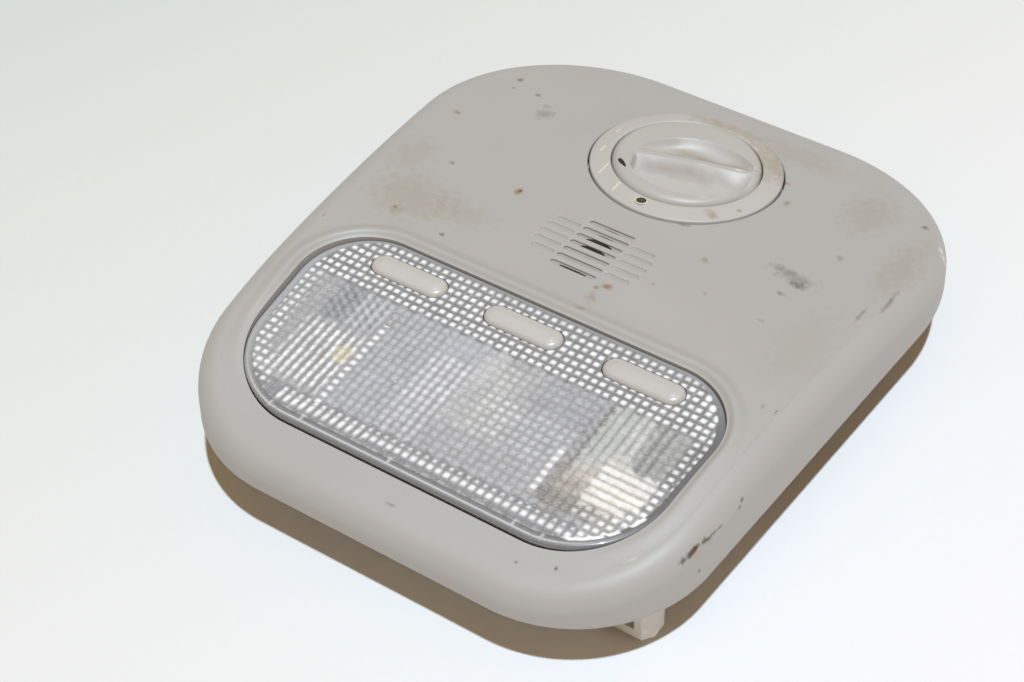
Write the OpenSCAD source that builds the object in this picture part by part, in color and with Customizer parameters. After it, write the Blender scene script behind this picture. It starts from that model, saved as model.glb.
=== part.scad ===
// Overhead car interior light: a crowned bezel that holds a prismatic lamp lens with
// three buttons, a slotted grille and a rotary dial.
// Frame: the object lies face up on its rear feet, +Z out of the face, +X across the
// lamp, +Y from the lamp end to the dial end. The origin is below the middle of the
// bezel, on the plane that the feet stand on. Millimetres.

/* [Bezel] */
// Overall length, lamp end to dial end
bezel_l = 175; // [172:0.5:180]
// Width at the lamp end
lamp_end_w = 135.4; // [134:0.2:139]
// Width at the dial end
dial_end_w = 147.6; // [144:0.2:152]
// Plan radius of the two corners at the lamp end
lamp_corner_r = 36; // [32:0.5:38]
// Plan radius of the two corners at the dial end
dial_corner_r = 47; // [40:0.5:52]
// Wall thickness of the moulded shell
wall = 2.2; // [1.8:0.1:2.6]
// Height of the rim above the plane of the feet
rim_h = 14; // [13:0.5:18]
// Height of the crown's highest line above the rim
crown_h = 17.4; // [17:0.1:19]
// Distance of the crown's highest line from the lamp end
crown_inset = 57.9; // [53.5:0.1:63.5]
// Radius of the crown's long fall towards the dial end
crown_dial_r = 515; // [480:5:700]
// Radius of the crown's short fall towards the lamp end
crown_lamp_r = 162; // [150:2:200]
// Radius of the rounded crest between face and side wall
crest_r = 6; // [5:0.25:6.5]
// Draft of the side wall
wall_draft = 2.3; // [0:0.1:3]
// Height of the raised lip round the lamp opening
lip_h = 1.1; // [0:0.1:1.6]

/* [Lens] */
// Distance of the lens centre from the bezel's lamp end
lamp_inset = 41.6; // [40:0.1:42.5]
// Height of the lens's outer face at its centre
lens_z = 28.9; // [28.5:0.1:31]
// Slope of the lens along Y
lens_tilt = 3.7; // [2.5:0.1:4.5]
// Width of the lens at the lamp end
lens_near_w = 112.2; // [108:0.2:113]
// Width of the lens on the side of the buttons
lens_far_w = 114.4; // [110:0.2:116]
// Depth of the lens along Y
lens_d = 57.5; // [56:0.1:58]
// Corner radius of the lens at the lamp end
lens_near_r = 23.6; // [20:0.2:26]
// Corner radius of the lens on the side of the buttons
lens_far_r = 17.7; // [14:0.1:20]
// Thickness of the lens
lens_t = 2.4; // [2:0.1:3]
// Gap between lens and bezel
lens_gap = 0.4; // [0.3:0.05:0.6]
// Pitch of the prisms under the lens
prism_pitch = 2.1; // [1.8:0.1:3]
// Depth of the prisms under the lens
prism_depth = 0.7; // [0.3:0.1:1]

/* [Buttons] */
// Distance between neighbouring buttons
button_pitch = 32.9; // [30:0.1:34]
// Distance of the buttons' middle line from the lens's edge
button_inset = 7.45; // [7:0.05:7.7]
// Length of a button
button_l = 21.4; // [18:0.2:23]
// Width of a button
button_w = 6.6; // [5.6:0.1:7]
// Height of a button above the lens
button_proud = 1.3; // [0.8:0.1:2]
// Travel of a button
button_travel = 1.6; // [1:0.1:1.8]
// Gap between button and lens
button_gap = 0.35; // [0.3:0.05:0.5]

/* [Lamps] */
// Distance of the map lamps from the middle
map_lamp_x = 36; // [34:0.5:38]
// Depth of the lamp wells below the reflector's flange
well_depth = 11.2; // [10.8:0.1:12]
// Radius of a bulb's glass
bulb_r = 4.8; // [4:0.1:5]
// Length of a bulb's glass
bulb_l = 16; // [14:0.5:18]

/* [Grille] */
// Middle of the grille across the bezel
grille_x = -0.8; // [-4:0.2:4]
// Shift of the grille from midway between lens and scale ring
grille_shift = 2.7; // [1:0.1:4]
// Number of through slots in the middle column
slot_count = 7; // [5:1:7]
// Distance between slots
slot_pitch = 3; // [2.8:0.1:3]
// Width of a slot
slot_w = 1.5; // [1:0.1:1.6]
// Length of a through slot
slot_l = 12.7; // [10:0.1:14]
// Radius of the round outline that the side grooves end on
grille_r = 15; // [13:0.5:16]
// Depth of the blind side grooves
groove_depth = 0.5; // [0.3:0.1:0.8]

/* [Dial] */
// Distance of the dial's middle from the bezel's dial end
dial_inset = 36.6; // [35.5:0.1:38.5]
// Slope of the dial's plane
dial_tilt = 8; // [7:0.1:9]
// Outer radius of the scale ring
ring_r = 25; // [24:0.1:26]
// Radius of the knob
knob_r = 19.3; // [18:0.1:20]
// Gap round the knob
knob_gap = 0.5; // [0.3:0.1:0.8]
// Height of the knob's middle above the bezel
knob_h = 3.6; // [3:0.1:4.5]
// Angle of the grip in the rest position
grip_angle = 22; // [0:1:45]
// Thickness of the grip between the finger scoops
grip_t = 2.6; // [2:0.1:4]
// Radius of the finger scoops, seen from above
scoop_r = 16.8; // [15:0.1:17]
// Radius of the spindle
spindle_r = 3; // [2.5:0.1:4]
// Clearance round the spindle in the switch
spindle_gap = 0.05; // [0.02:0.01:0.1]

/* [Rear] */
// Radius of the two bores that the roof screws pass through
roof_bore_r = 2.25; // [1.8:0.05:2.6]
// Distance between the two roof screws
roof_pitch = 33; // [32:0.2:34]
// Radius of the self-tapping screws
screw_r = 1.5; // [1.2:0.1:1.6]
// Thickness of the circuit board
board_t = 1.6; // [1.2:0.1:1.6]

/* [Hidden] */
$fn = 48;

// Resolution of the moulded shell: points on each corner arc, long side and end
arc_n = 8;
side_n = 7;
end_n = 5;
// A little more than a cut needs, so that no skin is left
eps = 0.01;

// Places along the bezel, each from the end or edge that it belongs to
crown_y = -bezel_l / 2 + crown_inset;
lamp_y = -bezel_l / 2 + lamp_inset;
dial_y = bezel_l / 2 - dial_inset;
grille_y = (lamp_y + lens_d / 2 + dial_y - ring_r) / 2 + grille_shift;
button_y = lens_d / 2 - button_inset;

// Outlines as [half width, y of the end, corner radius] at the lamp end and dial end
bezel_near = [lamp_end_w / 2, -bezel_l / 2, lamp_corner_r];
bezel_far = [dial_end_w / 2, bezel_l / 2, dial_corner_r];
lens_near = [lens_near_w / 2, -lens_d / 2, lens_near_r];
lens_far = [lens_far_w / 2, lens_d / 2, lens_far_r];
hole_near = [lens_near.x + lens_gap, lamp_y + lens_near.y - lens_gap, lens_near.z + lens_gap];
hole_far = [lens_far.x + lens_gap, lamp_y + lens_far.y + lens_gap, lens_far.z + lens_gap];

// Outline of four corner arcs and straight sides, as [point, outward normal] pairs
function side_lean(n, f) =
    let (d = [(f.x - f.z) - (n.x - n.z), (f.y - f.z) - (n.y + n.z)])
    asin((n.z - f.z) / norm(d)) - atan2(d.x, d.y);
function direction(a) = [cos(a), sin(a)];
function half_outline(n, f) =
    let (
        lean = side_lean(n, f),
        near_c = [n.x - n.z, n.y + n.z],
        far_c = [f.x - f.z, f.y - f.z],
        near_end = near_c + n.z * direction(lean),
        far_end = far_c + f.z * direction(lean)
    )
    concat(
        [for (i = [0:arc_n]) let (u = direction(-90 + (90 + lean) * i / arc_n)) [near_c + n.z * u, u]],
        [for (i = [1:side_n]) [near_end + (far_end - near_end) * i / (side_n + 1), direction(lean)]],
        [for (i = [0:arc_n]) let (u = direction(lean + (90 - lean) * i / arc_n)) [far_c + f.z * u, u]]
    );
function flip_x(p) = [-p.x, p.y];
function outline(n, f) =
    let (
        right = half_outline(n, f),
        last = len(right) - 1,
        far_x = right[last][0].x,
        near_x = right[0][0].x
    )
    concat(
        right,
        [for (i = [1:end_n]) [[far_x * (1 - 2 * i / (end_n + 1)), f.y], [0, 1]]],
        [for (i = [0:last]) [flip_x(right[last - i][0]), flip_x(right[last - i][1])]],
        [for (i = [1:end_n]) [[-near_x * (1 - 2 * i / (end_n + 1)), n.y], [0, -1]]]
    );
// The outline's points, moved outwards by grow
function points_of(line, grow = 0) = [for (p = line) p[0] + grow * p[1]];

// Height of the crowned face: a long arc towards the dial, a tighter one at the lamp
function arc_fall(r, d) = r - sqrt(r * r - d * d);
function face_z(y) =
    rim_h + crown_h - arc_fall(y > crown_y ? crown_dial_r : crown_lamp_r, y - crown_y);

bezel_line = outline(bezel_near, bezel_far);
hole_line = outline(hole_near, hole_far);
ring_n = len(bezel_line);

// Rows of the shell's section. Each gives one closed ring of 3D points.
draft_k = tan(wall_draft);
lip_w = 5.4;
hole_wall_h = 5;
hole_wall_t = 2;
lip_profile = [[0, 0.1], [0.1, 0.75], [0.3, 1], [0.55, 0.7], [0.8, 0.2], [1, 0]];
function lip_share(y) = min(1, max(0, 1.5 * (y - lamp_y + lens_d / 2) / lens_d));
function lip_row(s) =
    [for (p = points_of(hole_line, s[0] * lip_w)) [p.x, p.y, face_z(p.y) + s[1] * lip_h * lip_share(p.y)]];
function crest_row(a, r) =
    [for (p = bezel_line)
        let (
            foot = p[0] - crest_r * p[1],
            z = face_z(foot.y) - crest_r + r * sin(a),
            q = p[0] - (crest_r - r * cos(a) + draft_k * (z - rim_h)) * p[1]
        )
        [q.x, q.y, z]];
function level_row(points, z) = [for (p = points) [p.x, p.y, z]];
function mixed_row(a, b, t, drop) =
    [for (i = [0:ring_n - 1])
        let (p = a[i] + (b[i] - a[i]) * t)
        [p.x, p.y, face_z(p.y) - drop]];
function under_row(grow, drop) =
    [for (p = points_of(hole_line, grow)) [p.x, p.y, face_z(p.y) - drop]];

module bezel_shell() {
    lip_edge = lip_row([1, 0]);
    crest_edge = crest_row(90, crest_r);
    inner_edge = crest_row(90, crest_r - wall);
    inner_hole = under_row(hole_wall_t, wall);
    rows = concat(
        [under_row(0, hole_wall_h)],
        [for (s = lip_profile) lip_row(s)],
        [for (t = [1:6]) mixed_row(lip_edge, crest_edge, t / 7, 0)],
        [for (a = [90:-15:0]) crest_row(a, crest_r)],
        [level_row(points_of(bezel_line), rim_h)],
        [level_row(points_of(bezel_line, -wall), rim_h)],
        [for (a = [0:30:90]) crest_row(a, crest_r - wall)],
        [for (t = [1:3]) mixed_row(inner_edge, inner_hole, t / 4, wall)],
        [inner_hole],
        [under_row(hole_wall_t, hole_wall_h)]
    );
    row_n = len(rows);
    polyhedron(
        points = [for (row = rows) for (p = row) p],
        faces = [for (j = [0:row_n - 1]) for (i = [0:ring_n - 1])
            let (
                k = (i + 1) % ring_n,
                m = (j + 1) % row_n,
                a = j * ring_n + i,
                b = j * ring_n + k,
                c = m * ring_n + k,
                d = m * ring_n + i
            )
            each [[a, b, c], [a, c, d]]]
    );
}

// Frames of the lamp and of the dial
module in_lamp() {
    translate([0, lamp_y, lens_z]) rotate([lens_tilt, 0, 0]) children();
}
module in_dial() {
    translate([0, dial_y, face_z(dial_y)]) rotate([-dial_tilt, 0, 0]) children();
}
// A bar with round ends along X, standing on z = 0
module round_bar(l, w, h) {
    translate([-(l - w) / 2, -w / 2, 0]) cube([l - w, w, h]);
    for (s = [-1, 1]) translate([s * (l - w) / 2, 0, 0]) cylinder(d = w, h = h);
}
module lens_plan(grow) {
    polygon(points_of(outline(lens_near, lens_far), grow));
}
// A box given by the middle of its base
module block(size) {
    translate([-size.x / 2, -size.y / 2, 0]) cube(size);
}

// Levels in the lamp frame, counted down from the lens's outer face
skirt_h = 6.2;
skirt_t = 1.6;
skirt_inset = 0.8;
flange_t = 1.2;
flange_z = -skirt_h - flange_t;
well_floor_z = flange_z - well_depth;
floor_t = 1.2;
housing_t = 1.8;
strip_gap = 0.8;
strip_t = 0.6;
housing_floor_z = well_floor_z - floor_t - strip_gap - strip_t - housing_t;
strip_z = housing_floor_z + housing_t;
flange_inset = 0.6;

// Bosses that take the housing's screws, and the height where they end
boss_r = 3;
boss_foot_z = 17;
boss_inset = wall + 4.5;
pilot_depth = 4.2;
near_boss_angle = -75;
near_boss = [
    bezel_near.x - lamp_corner_r + (lamp_corner_r - boss_inset) * cos(near_boss_angle),
    bezel_near.y + lamp_corner_r + (lamp_corner_r - boss_inset) * sin(near_boss_angle)
];
far_boss = [lens_far.x - 9.2, lamp_y + lens_d / 2 + boss_r + 2.6];
boss_places = [near_boss, flip_x(near_boss), far_boss, flip_x(far_boss)];
pilot_r = screw_r - 0.25;

// Boss circle of the dial, its flange and the levels in the dial frame
ring_gap = 0.4;
dial_boss_r = ring_r + ring_gap + boss_r + 0.1;
dial_boss_angles = [30, 150, 270];
ring_flange_r = ring_r + 1.5;
ring_ear_r = 3.5;
ring_flange_z = -6.7;
ring_flange_t = 1.5;

// Round socket under the grille that holds the microphone
socket_r = 9;
socket_t = 1.5;
socket_foot_z = 20;
socket_top_z = face_z(grille_y) - wall - 0.8;
slot_foot_z = socket_top_z - 0.5;

// Ribs that the roof spring clips sit on
rib_t = 1.8;
rib_l = 14;
rib_y = 22;
rib_inset = 9.55;
rib_foot_z = rim_h - 3;
rib_share = (rib_y - bezel_near.y - bezel_near.z) / (bezel_l - bezel_near.z - bezel_far.z);
rib_x = bezel_near.x + rib_share * (bezel_far.x - bezel_near.x) - rib_inset;

module grille_cuts() {
    middle = (slot_count - 1) / 2;
    side_gap = 1.2;
    side_x = slot_l / 2 + side_gap;
    side_rows = 2;
    translate([grille_x, grille_y, 0]) {
        for (i = [-middle:middle]) {
            translate([0, i * slot_pitch, slot_foot_z]) round_bar(slot_l, slot_w, 10);
        }
        for (i = [-side_rows:side_rows], s = [-1, 1]) {
            reach = sqrt(grille_r * grille_r - pow(i * slot_pitch, 2));
            translate([
                s * (side_x + reach) / 2,
                i * slot_pitch,
                face_z(grille_y + i * slot_pitch) - groove_depth
            ]) round_bar(reach - side_x, slot_w, 5);
        }
    }
}

module bezel() {
    color("#b7b3ac") difference() {
        union() {
            bezel_shell();
            for (p = boss_places) {
                translate([p.x, p.y, boss_foot_z]) {
                    cylinder(r = boss_r, h = face_z(p.y) - wall / 2 - boss_foot_z);
                }
            }
            in_dial() for (a = dial_boss_angles) rotate([0, 0, a]) {
                translate([dial_boss_r, 0, ring_flange_z + ring_flange_t]) cylinder(r = boss_r, h = 3.4);
            }
            translate([grille_x, grille_y, socket_foot_z]) {
                cylinder(r = socket_r + socket_t, h = face_z(grille_y) - 1.5 - socket_foot_z);
            }
            for (s = [-1, 1]) {
                translate([s * rib_x, rib_y, rib_foot_z]) block([rib_t, rib_l, face_z(rib_y) - 1.5 - rib_foot_z]);
            }
        }
        for (p = boss_places) translate([p.x, p.y, boss_foot_z - eps]) cylinder(r = pilot_r, h = pilot_depth);
        in_dial() {
            translate([0, 0, -12]) cylinder(r = ring_r + ring_gap, h = 20, $fn = 96);
            for (a = dial_boss_angles) rotate([0, 0, a]) {
                translate([dial_boss_r, 0, ring_flange_z + ring_flange_t - eps]) cylinder(r = pilot_r, h = 3);
            }
        }
        translate([grille_x, grille_y, socket_foot_z - eps]) {
            cylinder(r = socket_r, h = socket_top_z - socket_foot_z + eps);
        }
        grille_cuts();
    }
}

// Clear moulding: plate, skirt, prisms underneath and three slots for the buttons
module lens() {
    slot_x = button_l + 2 * button_gap;
    slot_y = button_w + 2 * button_gap;
    prism_x = lens_near_w / 2 - 12;
    prism_l = well_far_y - well_near_y + 3;
    prism_n = floor(2 * prism_x / prism_pitch);
    color("#e4eaee", 0.45) in_lamp() difference() {
        union() {
            translate([0, 0, -lens_t]) linear_extrude(lens_t) lens_plan(0);
            translate([0, 0, -skirt_h]) linear_extrude(skirt_h - lens_t + eps) difference() {
                lens_plan(-skirt_inset);
                lens_plan(-skirt_inset - skirt_t);
            }
        }
        for (i = [-1:1]) {
            translate([i * button_pitch, button_y, -lens_t - 1]) round_bar(slot_x, slot_y, lens_t + 2);
        }
        translate([0, well_far_y, -lens_t]) rotate([90, 0, 0]) linear_extrude(prism_l) polygon(concat(
            [for (i = [0:2 * prism_n]) [
                -prism_n * prism_pitch / 2 + i * prism_pitch / 2,
                i % 2 == 0 ? 0 : prism_depth
            ]],
            [[prism_n * prism_pitch / 2, -eps], [-prism_n * prism_pitch / 2, -eps]]
        ));
    }
}

// Wells as [middle x, width]: one for each map lamp and a wide one for the courtesy lamp
divider_t = 2;
map_well_w = 24;
centre_well_w = 2 * (map_lamp_x - map_well_w / 2 - divider_t);
wells = [[-map_lamp_x, map_well_w], [0, centre_well_w], [map_lamp_x, map_well_w]];
well_near_y = -lens_d / 2 + 7.75;
well_far_y = button_y - 7.3;
well_d = well_far_y - well_near_y;
button_stem = [12, 3];
stem_gap = 0.5;
roof_access_r = 4;

// A well's block, trimmed at the corners so that it fits in the rear tray
module well_block(w, wall_t, top, depth) {
    translate([0, 0, top - depth]) linear_extrude(depth) intersection() {
        translate([w[0] - w[1] / 2 - wall_t, well_near_y - wall_t]) square([w[1] + 2 * wall_t, well_d + 2 * wall_t]);
        lens_plan(-housing_t - 0.5 - floor_t + wall_t);
    }
}
// Metallised tray under the lens
module reflector() {
    color("#c9ccd0") in_lamp() difference() {
        union() {
            translate([0, 0, flange_z]) linear_extrude(flange_t) lens_plan(-flange_inset);
            for (w = wells) well_block(w, floor_t, flange_z + eps, well_depth + floor_t);
        }
        for (w = wells) well_block(w, 0, flange_z + flange_t + eps, well_depth + flange_t);
        for (i = [-1:1]) {
            translate([i * button_pitch, button_y, flange_z - 1]) {
                block([button_stem.x + 2 * stem_gap, button_stem.y + 2 * stem_gap, flange_t + 2]);
            }
        }
        for (s = [-1, 1]) {
            translate([s * roof_pitch / 2, button_y, flange_z - 1]) cylinder(r = roof_access_r, h = flange_t + 2);
        }
        for (w = wells, s = [-1, 1]) {
            translate([w[0] + s * contact_x, contact_y + s * contact_stagger, well_floor_z - floor_t - eps]) {
                block([contact_t + 0.4, contact_w + 0.4, floor_t + 2 * eps]);
            }
        }
    }
}

// Wedge bulbs lie along Y with the glass towards the buttons
bulb_z = well_floor_z + bulb_r + 0.9;
bulb_y = well_near_y + 17.5;
bulb_base = [7.6, 9.5, 2.2];
contact_t = 0.5;
contact_w = 2.4;
contact_stagger = 2.2;
contact_x = bulb_base.x / 2 + contact_t / 2;
contact_foot = 3.5;
contact_y = bulb_y - bulb_l / 2 - bulb_base.y / 2 + 0.5;

module bulb(x) {
    glass = concat(
        [[0, 0], [bulb_base.z, 0], [bulb_r, 4]],
        [for (a = [0:10:90]) [bulb_r * cos(a), bulb_l - bulb_r + bulb_r * sin(a)]]
    );
    color("#f4ead2", 0.6) in_lamp() translate([x, bulb_y - bulb_l / 2, bulb_z]) {
        rotate([-90, 0, 0]) rotate_extrude() polygon(glass);
        translate([0, -bulb_base.y / 2 + 0.5, -bulb_base.z / 2]) {
            block([bulb_base.x, bulb_base.y + 1, bulb_base.z]);
        }
    }
}
// Two upright spring blades with feet on the lead strips
module bulb_contacts(x) {
    top = bulb_z + bulb_base.z / 2 + 1.5;
    foot_z = strip_z + strip_t;
    color("#c8a35a") in_lamp() for (s = [-1, 1]) translate([x + s * contact_x, contact_y + s * contact_stagger, foot_z]) {
        block([contact_t, contact_w, top - foot_z]);
        translate([s * contact_foot / 2, 0, 0]) block([contact_foot, contact_w, contact_t]);
    }
}

// Rear tray of the lamp
board_z = -16.6;
board_top = board_z + board_t;
board_near_y = well_far_y + floor_t + 0.6;
board_far_y = lens_d / 2 - housing_t - 1.2;
board_y = (board_near_y + board_far_y) / 2;
post_x = button_pitch + 8.1;
board_x = post_x + 4;
post_r = 2.6;
foot_r = 4;
foot_places = [[map_lamp_x + 4, well_near_y - 1], [map_lamp_x + 4, button_y - 1.3]];
roof_boss_r = 4.6;
roof_boss_z = 3;
roof_boss_h = 7.4;
roof_y = lamp_y + button_y;
leg_x = lens_near.x - 10.1;
leg_y = lamp_y - lens_d / 2 + 5.65;
leg_z = 2;
leg_top_z = rim_h + 2;
leg_reach = bezel_near.x - 8.1 - leg_x;
leg_d = 6.5;
leg_nose = [2, 2.6];
leg_window = [3.3, 7];
ear_t = 2.6;
ear_r = 4;
ear_l = 11;
pin_t = 0.8;
pin_window = [15, 2.4];

// Place in the main frame of the point [y, z] of the lamp frame
function lamp_place(y, z) =
    [lamp_y + y * cos(lens_tilt) - z * sin(lens_tilt), lens_z + y * sin(lens_tilt) + z * cos(lens_tilt)];

// Ear with a screw hole, reaching back from a boss to the tray
module ear(p, side) {
    translate([p.x, p.y, boss_foot_z - ear_t]) {
        cylinder(r = ear_r, h = ear_t);
        translate([0, side * ear_l / 2, 0]) block([2 * ear_r, ear_l, ear_t]);
    }
}
// Leg in the corner with a window and a chamfered tip, which snaps into the roof panel
module leg() {
    tip_x = leg_x + leg_reach;
    translate([0, leg_y, 0]) difference() {
        translate([0, 0, leg_z]) linear_extrude(leg_top_z - leg_z) polygon([
            [leg_x, 0], [tip_x, 0], [tip_x + leg_nose.x, leg_nose.y], [tip_x + leg_nose.x, leg_d], [leg_x, leg_d]
        ]);
        translate([tip_x - 2, -eps, leg_z]) rotate([0, 0, 45]) rotate([0, 45, 0]) {
            translate([0, -6, -6]) cube([10, 16, 6]);
        }
        translate([tip_x - 1.9 - leg_window.x, -eps, leg_z + 2.7]) {
            cube([leg_window.x, leg_d + 2 * eps, leg_window.y]);
        }
    }
}
module housing_outside() {
    in_lamp() translate([0, 0, housing_floor_z]) {
        linear_extrude(flange_z - housing_floor_z) lens_plan(0);
    }
    for (s = [-1, 1], p = foot_places) {
        top = lamp_place(p.y, housing_floor_z + housing_t / 2);
        translate([s * p.x, top[0], 0]) cylinder(r = foot_r, h = top[1]);
    }
    for (s = [0, 1]) mirror([s, 0, 0]) {
        ear(near_boss, 1);
        ear(far_boss, -1);
        leg();
    }
}
module lamp_housing() {
    color("#dcdad2") difference() {
        union() {
            difference() {
                housing_outside();
                in_lamp() translate([0, 0, strip_z]) linear_extrude(20) lens_plan(-housing_t);
            }
            for (s = [-1, 1]) {
                translate([s * roof_pitch / 2, roof_y, roof_boss_z]) cylinder(r = roof_boss_r, h = roof_boss_h);
                in_lamp() translate([s * post_x, board_y, strip_z - housing_t / 2]) {
                    cylinder(r = post_r, h = board_z - strip_z + housing_t / 2);
                }
            }
        }
        for (s = [-1, 1]) {
            translate([s * roof_pitch / 2, roof_y, roof_boss_z - 1]) cylinder(r = roof_bore_r, h = roof_boss_h + 2);
            in_lamp() translate([s * post_x, board_y, board_z - 3]) cylinder(r = pilot_r, h = 4);
        }
        for (p = boss_places) translate([p.x, p.y, boss_foot_z - ear_t - 1]) {
            cylinder(r = screw_r + 0.15, h = ear_t + 2);
        }
        in_lamp() translate([0, lens_d / 2, board_z - pin_t / 2 - pin_window.y / 2]) {
            block([pin_window.x, 2 * housing_t + 2, pin_window.y]);
        }
    }
}

// Buttons, each on a plunger that slides in a push switch on the circuit board
flange_gap = 0.3;
stem_foot_z = -9;
plunger_r = 1.5;
plunger_gap = 0.05;
plunger_l = 3.4;
switch_size = [7, 7, 4];
switch_top = board_top + switch_size.z;
button_edge_r = 1.6;

module at_button(i) {
    in_lamp() translate([i * button_pitch, button_y, 0]) children();
}
function button_profile() = concat(
    [[0, -lens_t - flange_gap - 1], [button_w / 2, -lens_t - flange_gap - 1]],
    [for (a = [0:15:75]) [
        button_w / 2 - button_edge_r * (1 - cos(a)),
        button_proud - 0.3 - button_edge_r * (1 - sin(a))
    ]],
    [[button_w / 4, button_proud - 0.12], [0, button_proud]]
);
module button(i) {
    profile = button_profile();
    straight = button_l - button_w;
    color("#bdb9b1") at_button(i) {
        for (s = [-1, 1]) translate([s * straight / 2, 0, 0]) rotate_extrude() polygon(profile);
        translate([-straight / 2, 0, 0]) rotate([90, 0, 90]) linear_extrude(straight) {
            polygon(concat(profile, [for (k = [len(profile) - 2:-1:1]) [-profile[k].x, profile[k].y], [-button_w / 2, profile[0].y]]));
        }
        translate([0, 0, -lens_t - flange_gap - 1]) round_bar(button_l + 1.8, button_w + 1.8, 1);
        translate([0, 0, stem_foot_z]) {
            block([button_stem.x, button_stem.y, -lens_t - flange_gap - 1 - stem_foot_z + eps]);
        }
    }
}
module plunger(i) {
    color("#2c2d2f") at_button(i) translate([0, 0, stem_foot_z - plunger_l]) cylinder(r = plunger_r, h = plunger_l);
}
module push_switch(i) {
    bore_foot = stem_foot_z - plunger_l - button_travel - 0.2;
    color("#3a3b3e") at_button(i) difference() {
        translate([0, 0, board_top]) block(switch_size);
        translate([0, 0, bore_foot]) cylinder(r = plunger_r + plunger_gap, h = switch_top - bore_foot + eps);
    }
}
module circuit_board() {
    color("#2f6b45") in_lamp() difference() {
        translate([0, board_y, board_z]) block([2 * board_x, board_far_y - board_near_y, board_t]);
        for (s = [-1, 1]) {
            translate([s * post_x, board_y, board_z - 1]) cylinder(r = screw_r + 0.15, h = board_t + 2);
            translate([s * roof_pitch / 2, board_far_y, board_z - 1]) {
                block([2 * roof_access_r, 2 * (board_far_y - button_y + roof_access_r), board_t + 2]);
            }
        }
    }
}
module board_screws() {
    color("#8d9094") in_lamp() for (s = [-1, 1]) translate([s * post_x, board_y, board_z - 2.8]) {
        cylinder(r = screw_r, h = 2.8 + board_t);
        translate([0, 0, 2.8 + board_t]) cylinder(r = 2.6, h = 1.6);
    }
}
// Two strips that feed the bulbs, side by side on the tray's floor
module feed_strip() {
    strip_l = 2 * (map_lamp_x + contact_x + contact_foot + contact_w / 2);
    color("#c8a35a") in_lamp() for (s = [-1, 1]) {
        translate([0, contact_y + s * contact_stagger, strip_z]) block([strip_l, contact_w, strip_t]);
    }
}

// Plug sockets: a box with a cavity that opens along +Y, standing on its base
pin_n = 5;
pin_pitch = 2.54;
plug = [19, 6];
shroud_t = 1.6;
shroud_l = 12;
plug_depth = 10;
pin_free_l = 5;
lamp_plug_y = lens_d / 2;
module shroud(size, l, back) {
    difference() {
        translate([0, l / 2, 0]) block([size.x + 2 * shroud_t, l, size.y + 2 * shroud_t]);
        translate([0, back + l / 2, shroud_t]) block([size.x, l, size.y]);
    }
}
module pin_row(n, l) {
    for (i = [0:n - 1]) translate([(i - (n - 1) / 2) * pin_pitch, l / 2, 0]) block([pin_t, l, pin_t]);
}
module lamp_connector() {
    color("#26272a") in_lamp() translate([0, lamp_plug_y, board_z - pin_t / 2 - plug.y / 2 - shroud_t]) {
        shroud(plug, shroud_l, shroud_l - plug_depth);
    }
}
module lamp_pins() {
    color("#c8a35a") in_lamp() translate([0, board_y, board_z - pin_t]) {
        pin_row(pin_n, lamp_plug_y + shroud_l - plug_depth + pin_free_l - board_y);
    }
}
// Four self-tapping screws, driven up through the ears
module housing_screws() {
    color("#8d9094") for (p = boss_places) translate([p.x, p.y, boss_foot_z - ear_t]) {
        cylinder(r = screw_r, h = ear_t + pilot_depth - 0.5);
        translate([0, 0, -2]) cylinder(r = 3, h = 2);
    }
}

// Dial: scale ring with its flange, knob, spindle and rotary switch
ring_in_r = knob_r + knob_gap;
ring_wall = 2.2;
ring_in_z = 1.2;
ring_plate_z = -1.8;
indicator_r = 1.25;
indicator_angle = -91;
indicator_depth = 2.2;
indicator_place = [(ring_in_r + ring_r) / 2, 0, 0.8];
switch_plate_t = 1.2;
switch_r = 18;
switch_drum_h = 4.4;
switch_box = [26, 26, 4.4];
switch_foot_z = ring_flange_z - switch_plate_t - switch_drum_h - switch_box.z;
spindle_foot_z = switch_foot_z + 1.6;
knob_foot_z = -2.6;
knob_edge_z = 2.9;
knob_edge_r = 2.2;

module ear_plate(z, t) {
    translate([0, 0, z]) {
        cylinder(r = ring_flange_r, h = t);
        for (a = dial_boss_angles) rotate([0, 0, a]) {
            translate([dial_boss_r, 0, 0]) cylinder(r = ring_ear_r, h = t);
            translate([dial_boss_r / 2, 0, 0]) block([dial_boss_r, 2 * ring_ear_r, t]);
        }
    }
}
module dial_screw_holes(z, h) {
    for (a = dial_boss_angles) rotate([0, 0, a]) translate([dial_boss_r, 0, z]) {
        cylinder(r = screw_r + 0.15, h = h);
    }
}
module dial_ring() {
    floor_r = 8;
    color("#b9b6b0") in_dial() difference() {
        union() {
            rotate_extrude($fn = 96) polygon([
                [ring_in_r, ring_in_z], [ring_r - 0.4, 0.4], [ring_r, 0], [ring_r, ring_plate_z],
                [ring_in_r + ring_wall, ring_plate_z], [ring_in_r + ring_wall, ring_flange_z + eps],
                [ring_in_r, ring_flange_z + eps]
            ]);
            difference() {
                ear_plate(ring_flange_z, ring_flange_t);
                translate([0, 0, ring_flange_z - 1]) cylinder(r = floor_r, h = ring_flange_t + 2);
            }
        }
        dial_screw_holes(ring_flange_z - 1, ring_flange_t + 2);
        rotate([0, 0, indicator_angle]) translate([indicator_place.x, 0, indicator_place.z - indicator_depth]) {
            cylinder(r = indicator_r, h = indicator_depth + 1);
        }
    }
}
module indicator_lens() {
    color("#6f7068") in_dial() rotate([0, 0, indicator_angle]) {
        translate([indicator_place.x, 0, indicator_place.z - indicator_depth]) cylinder(r = indicator_r - 0.05, h = 1);
    }
}
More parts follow.
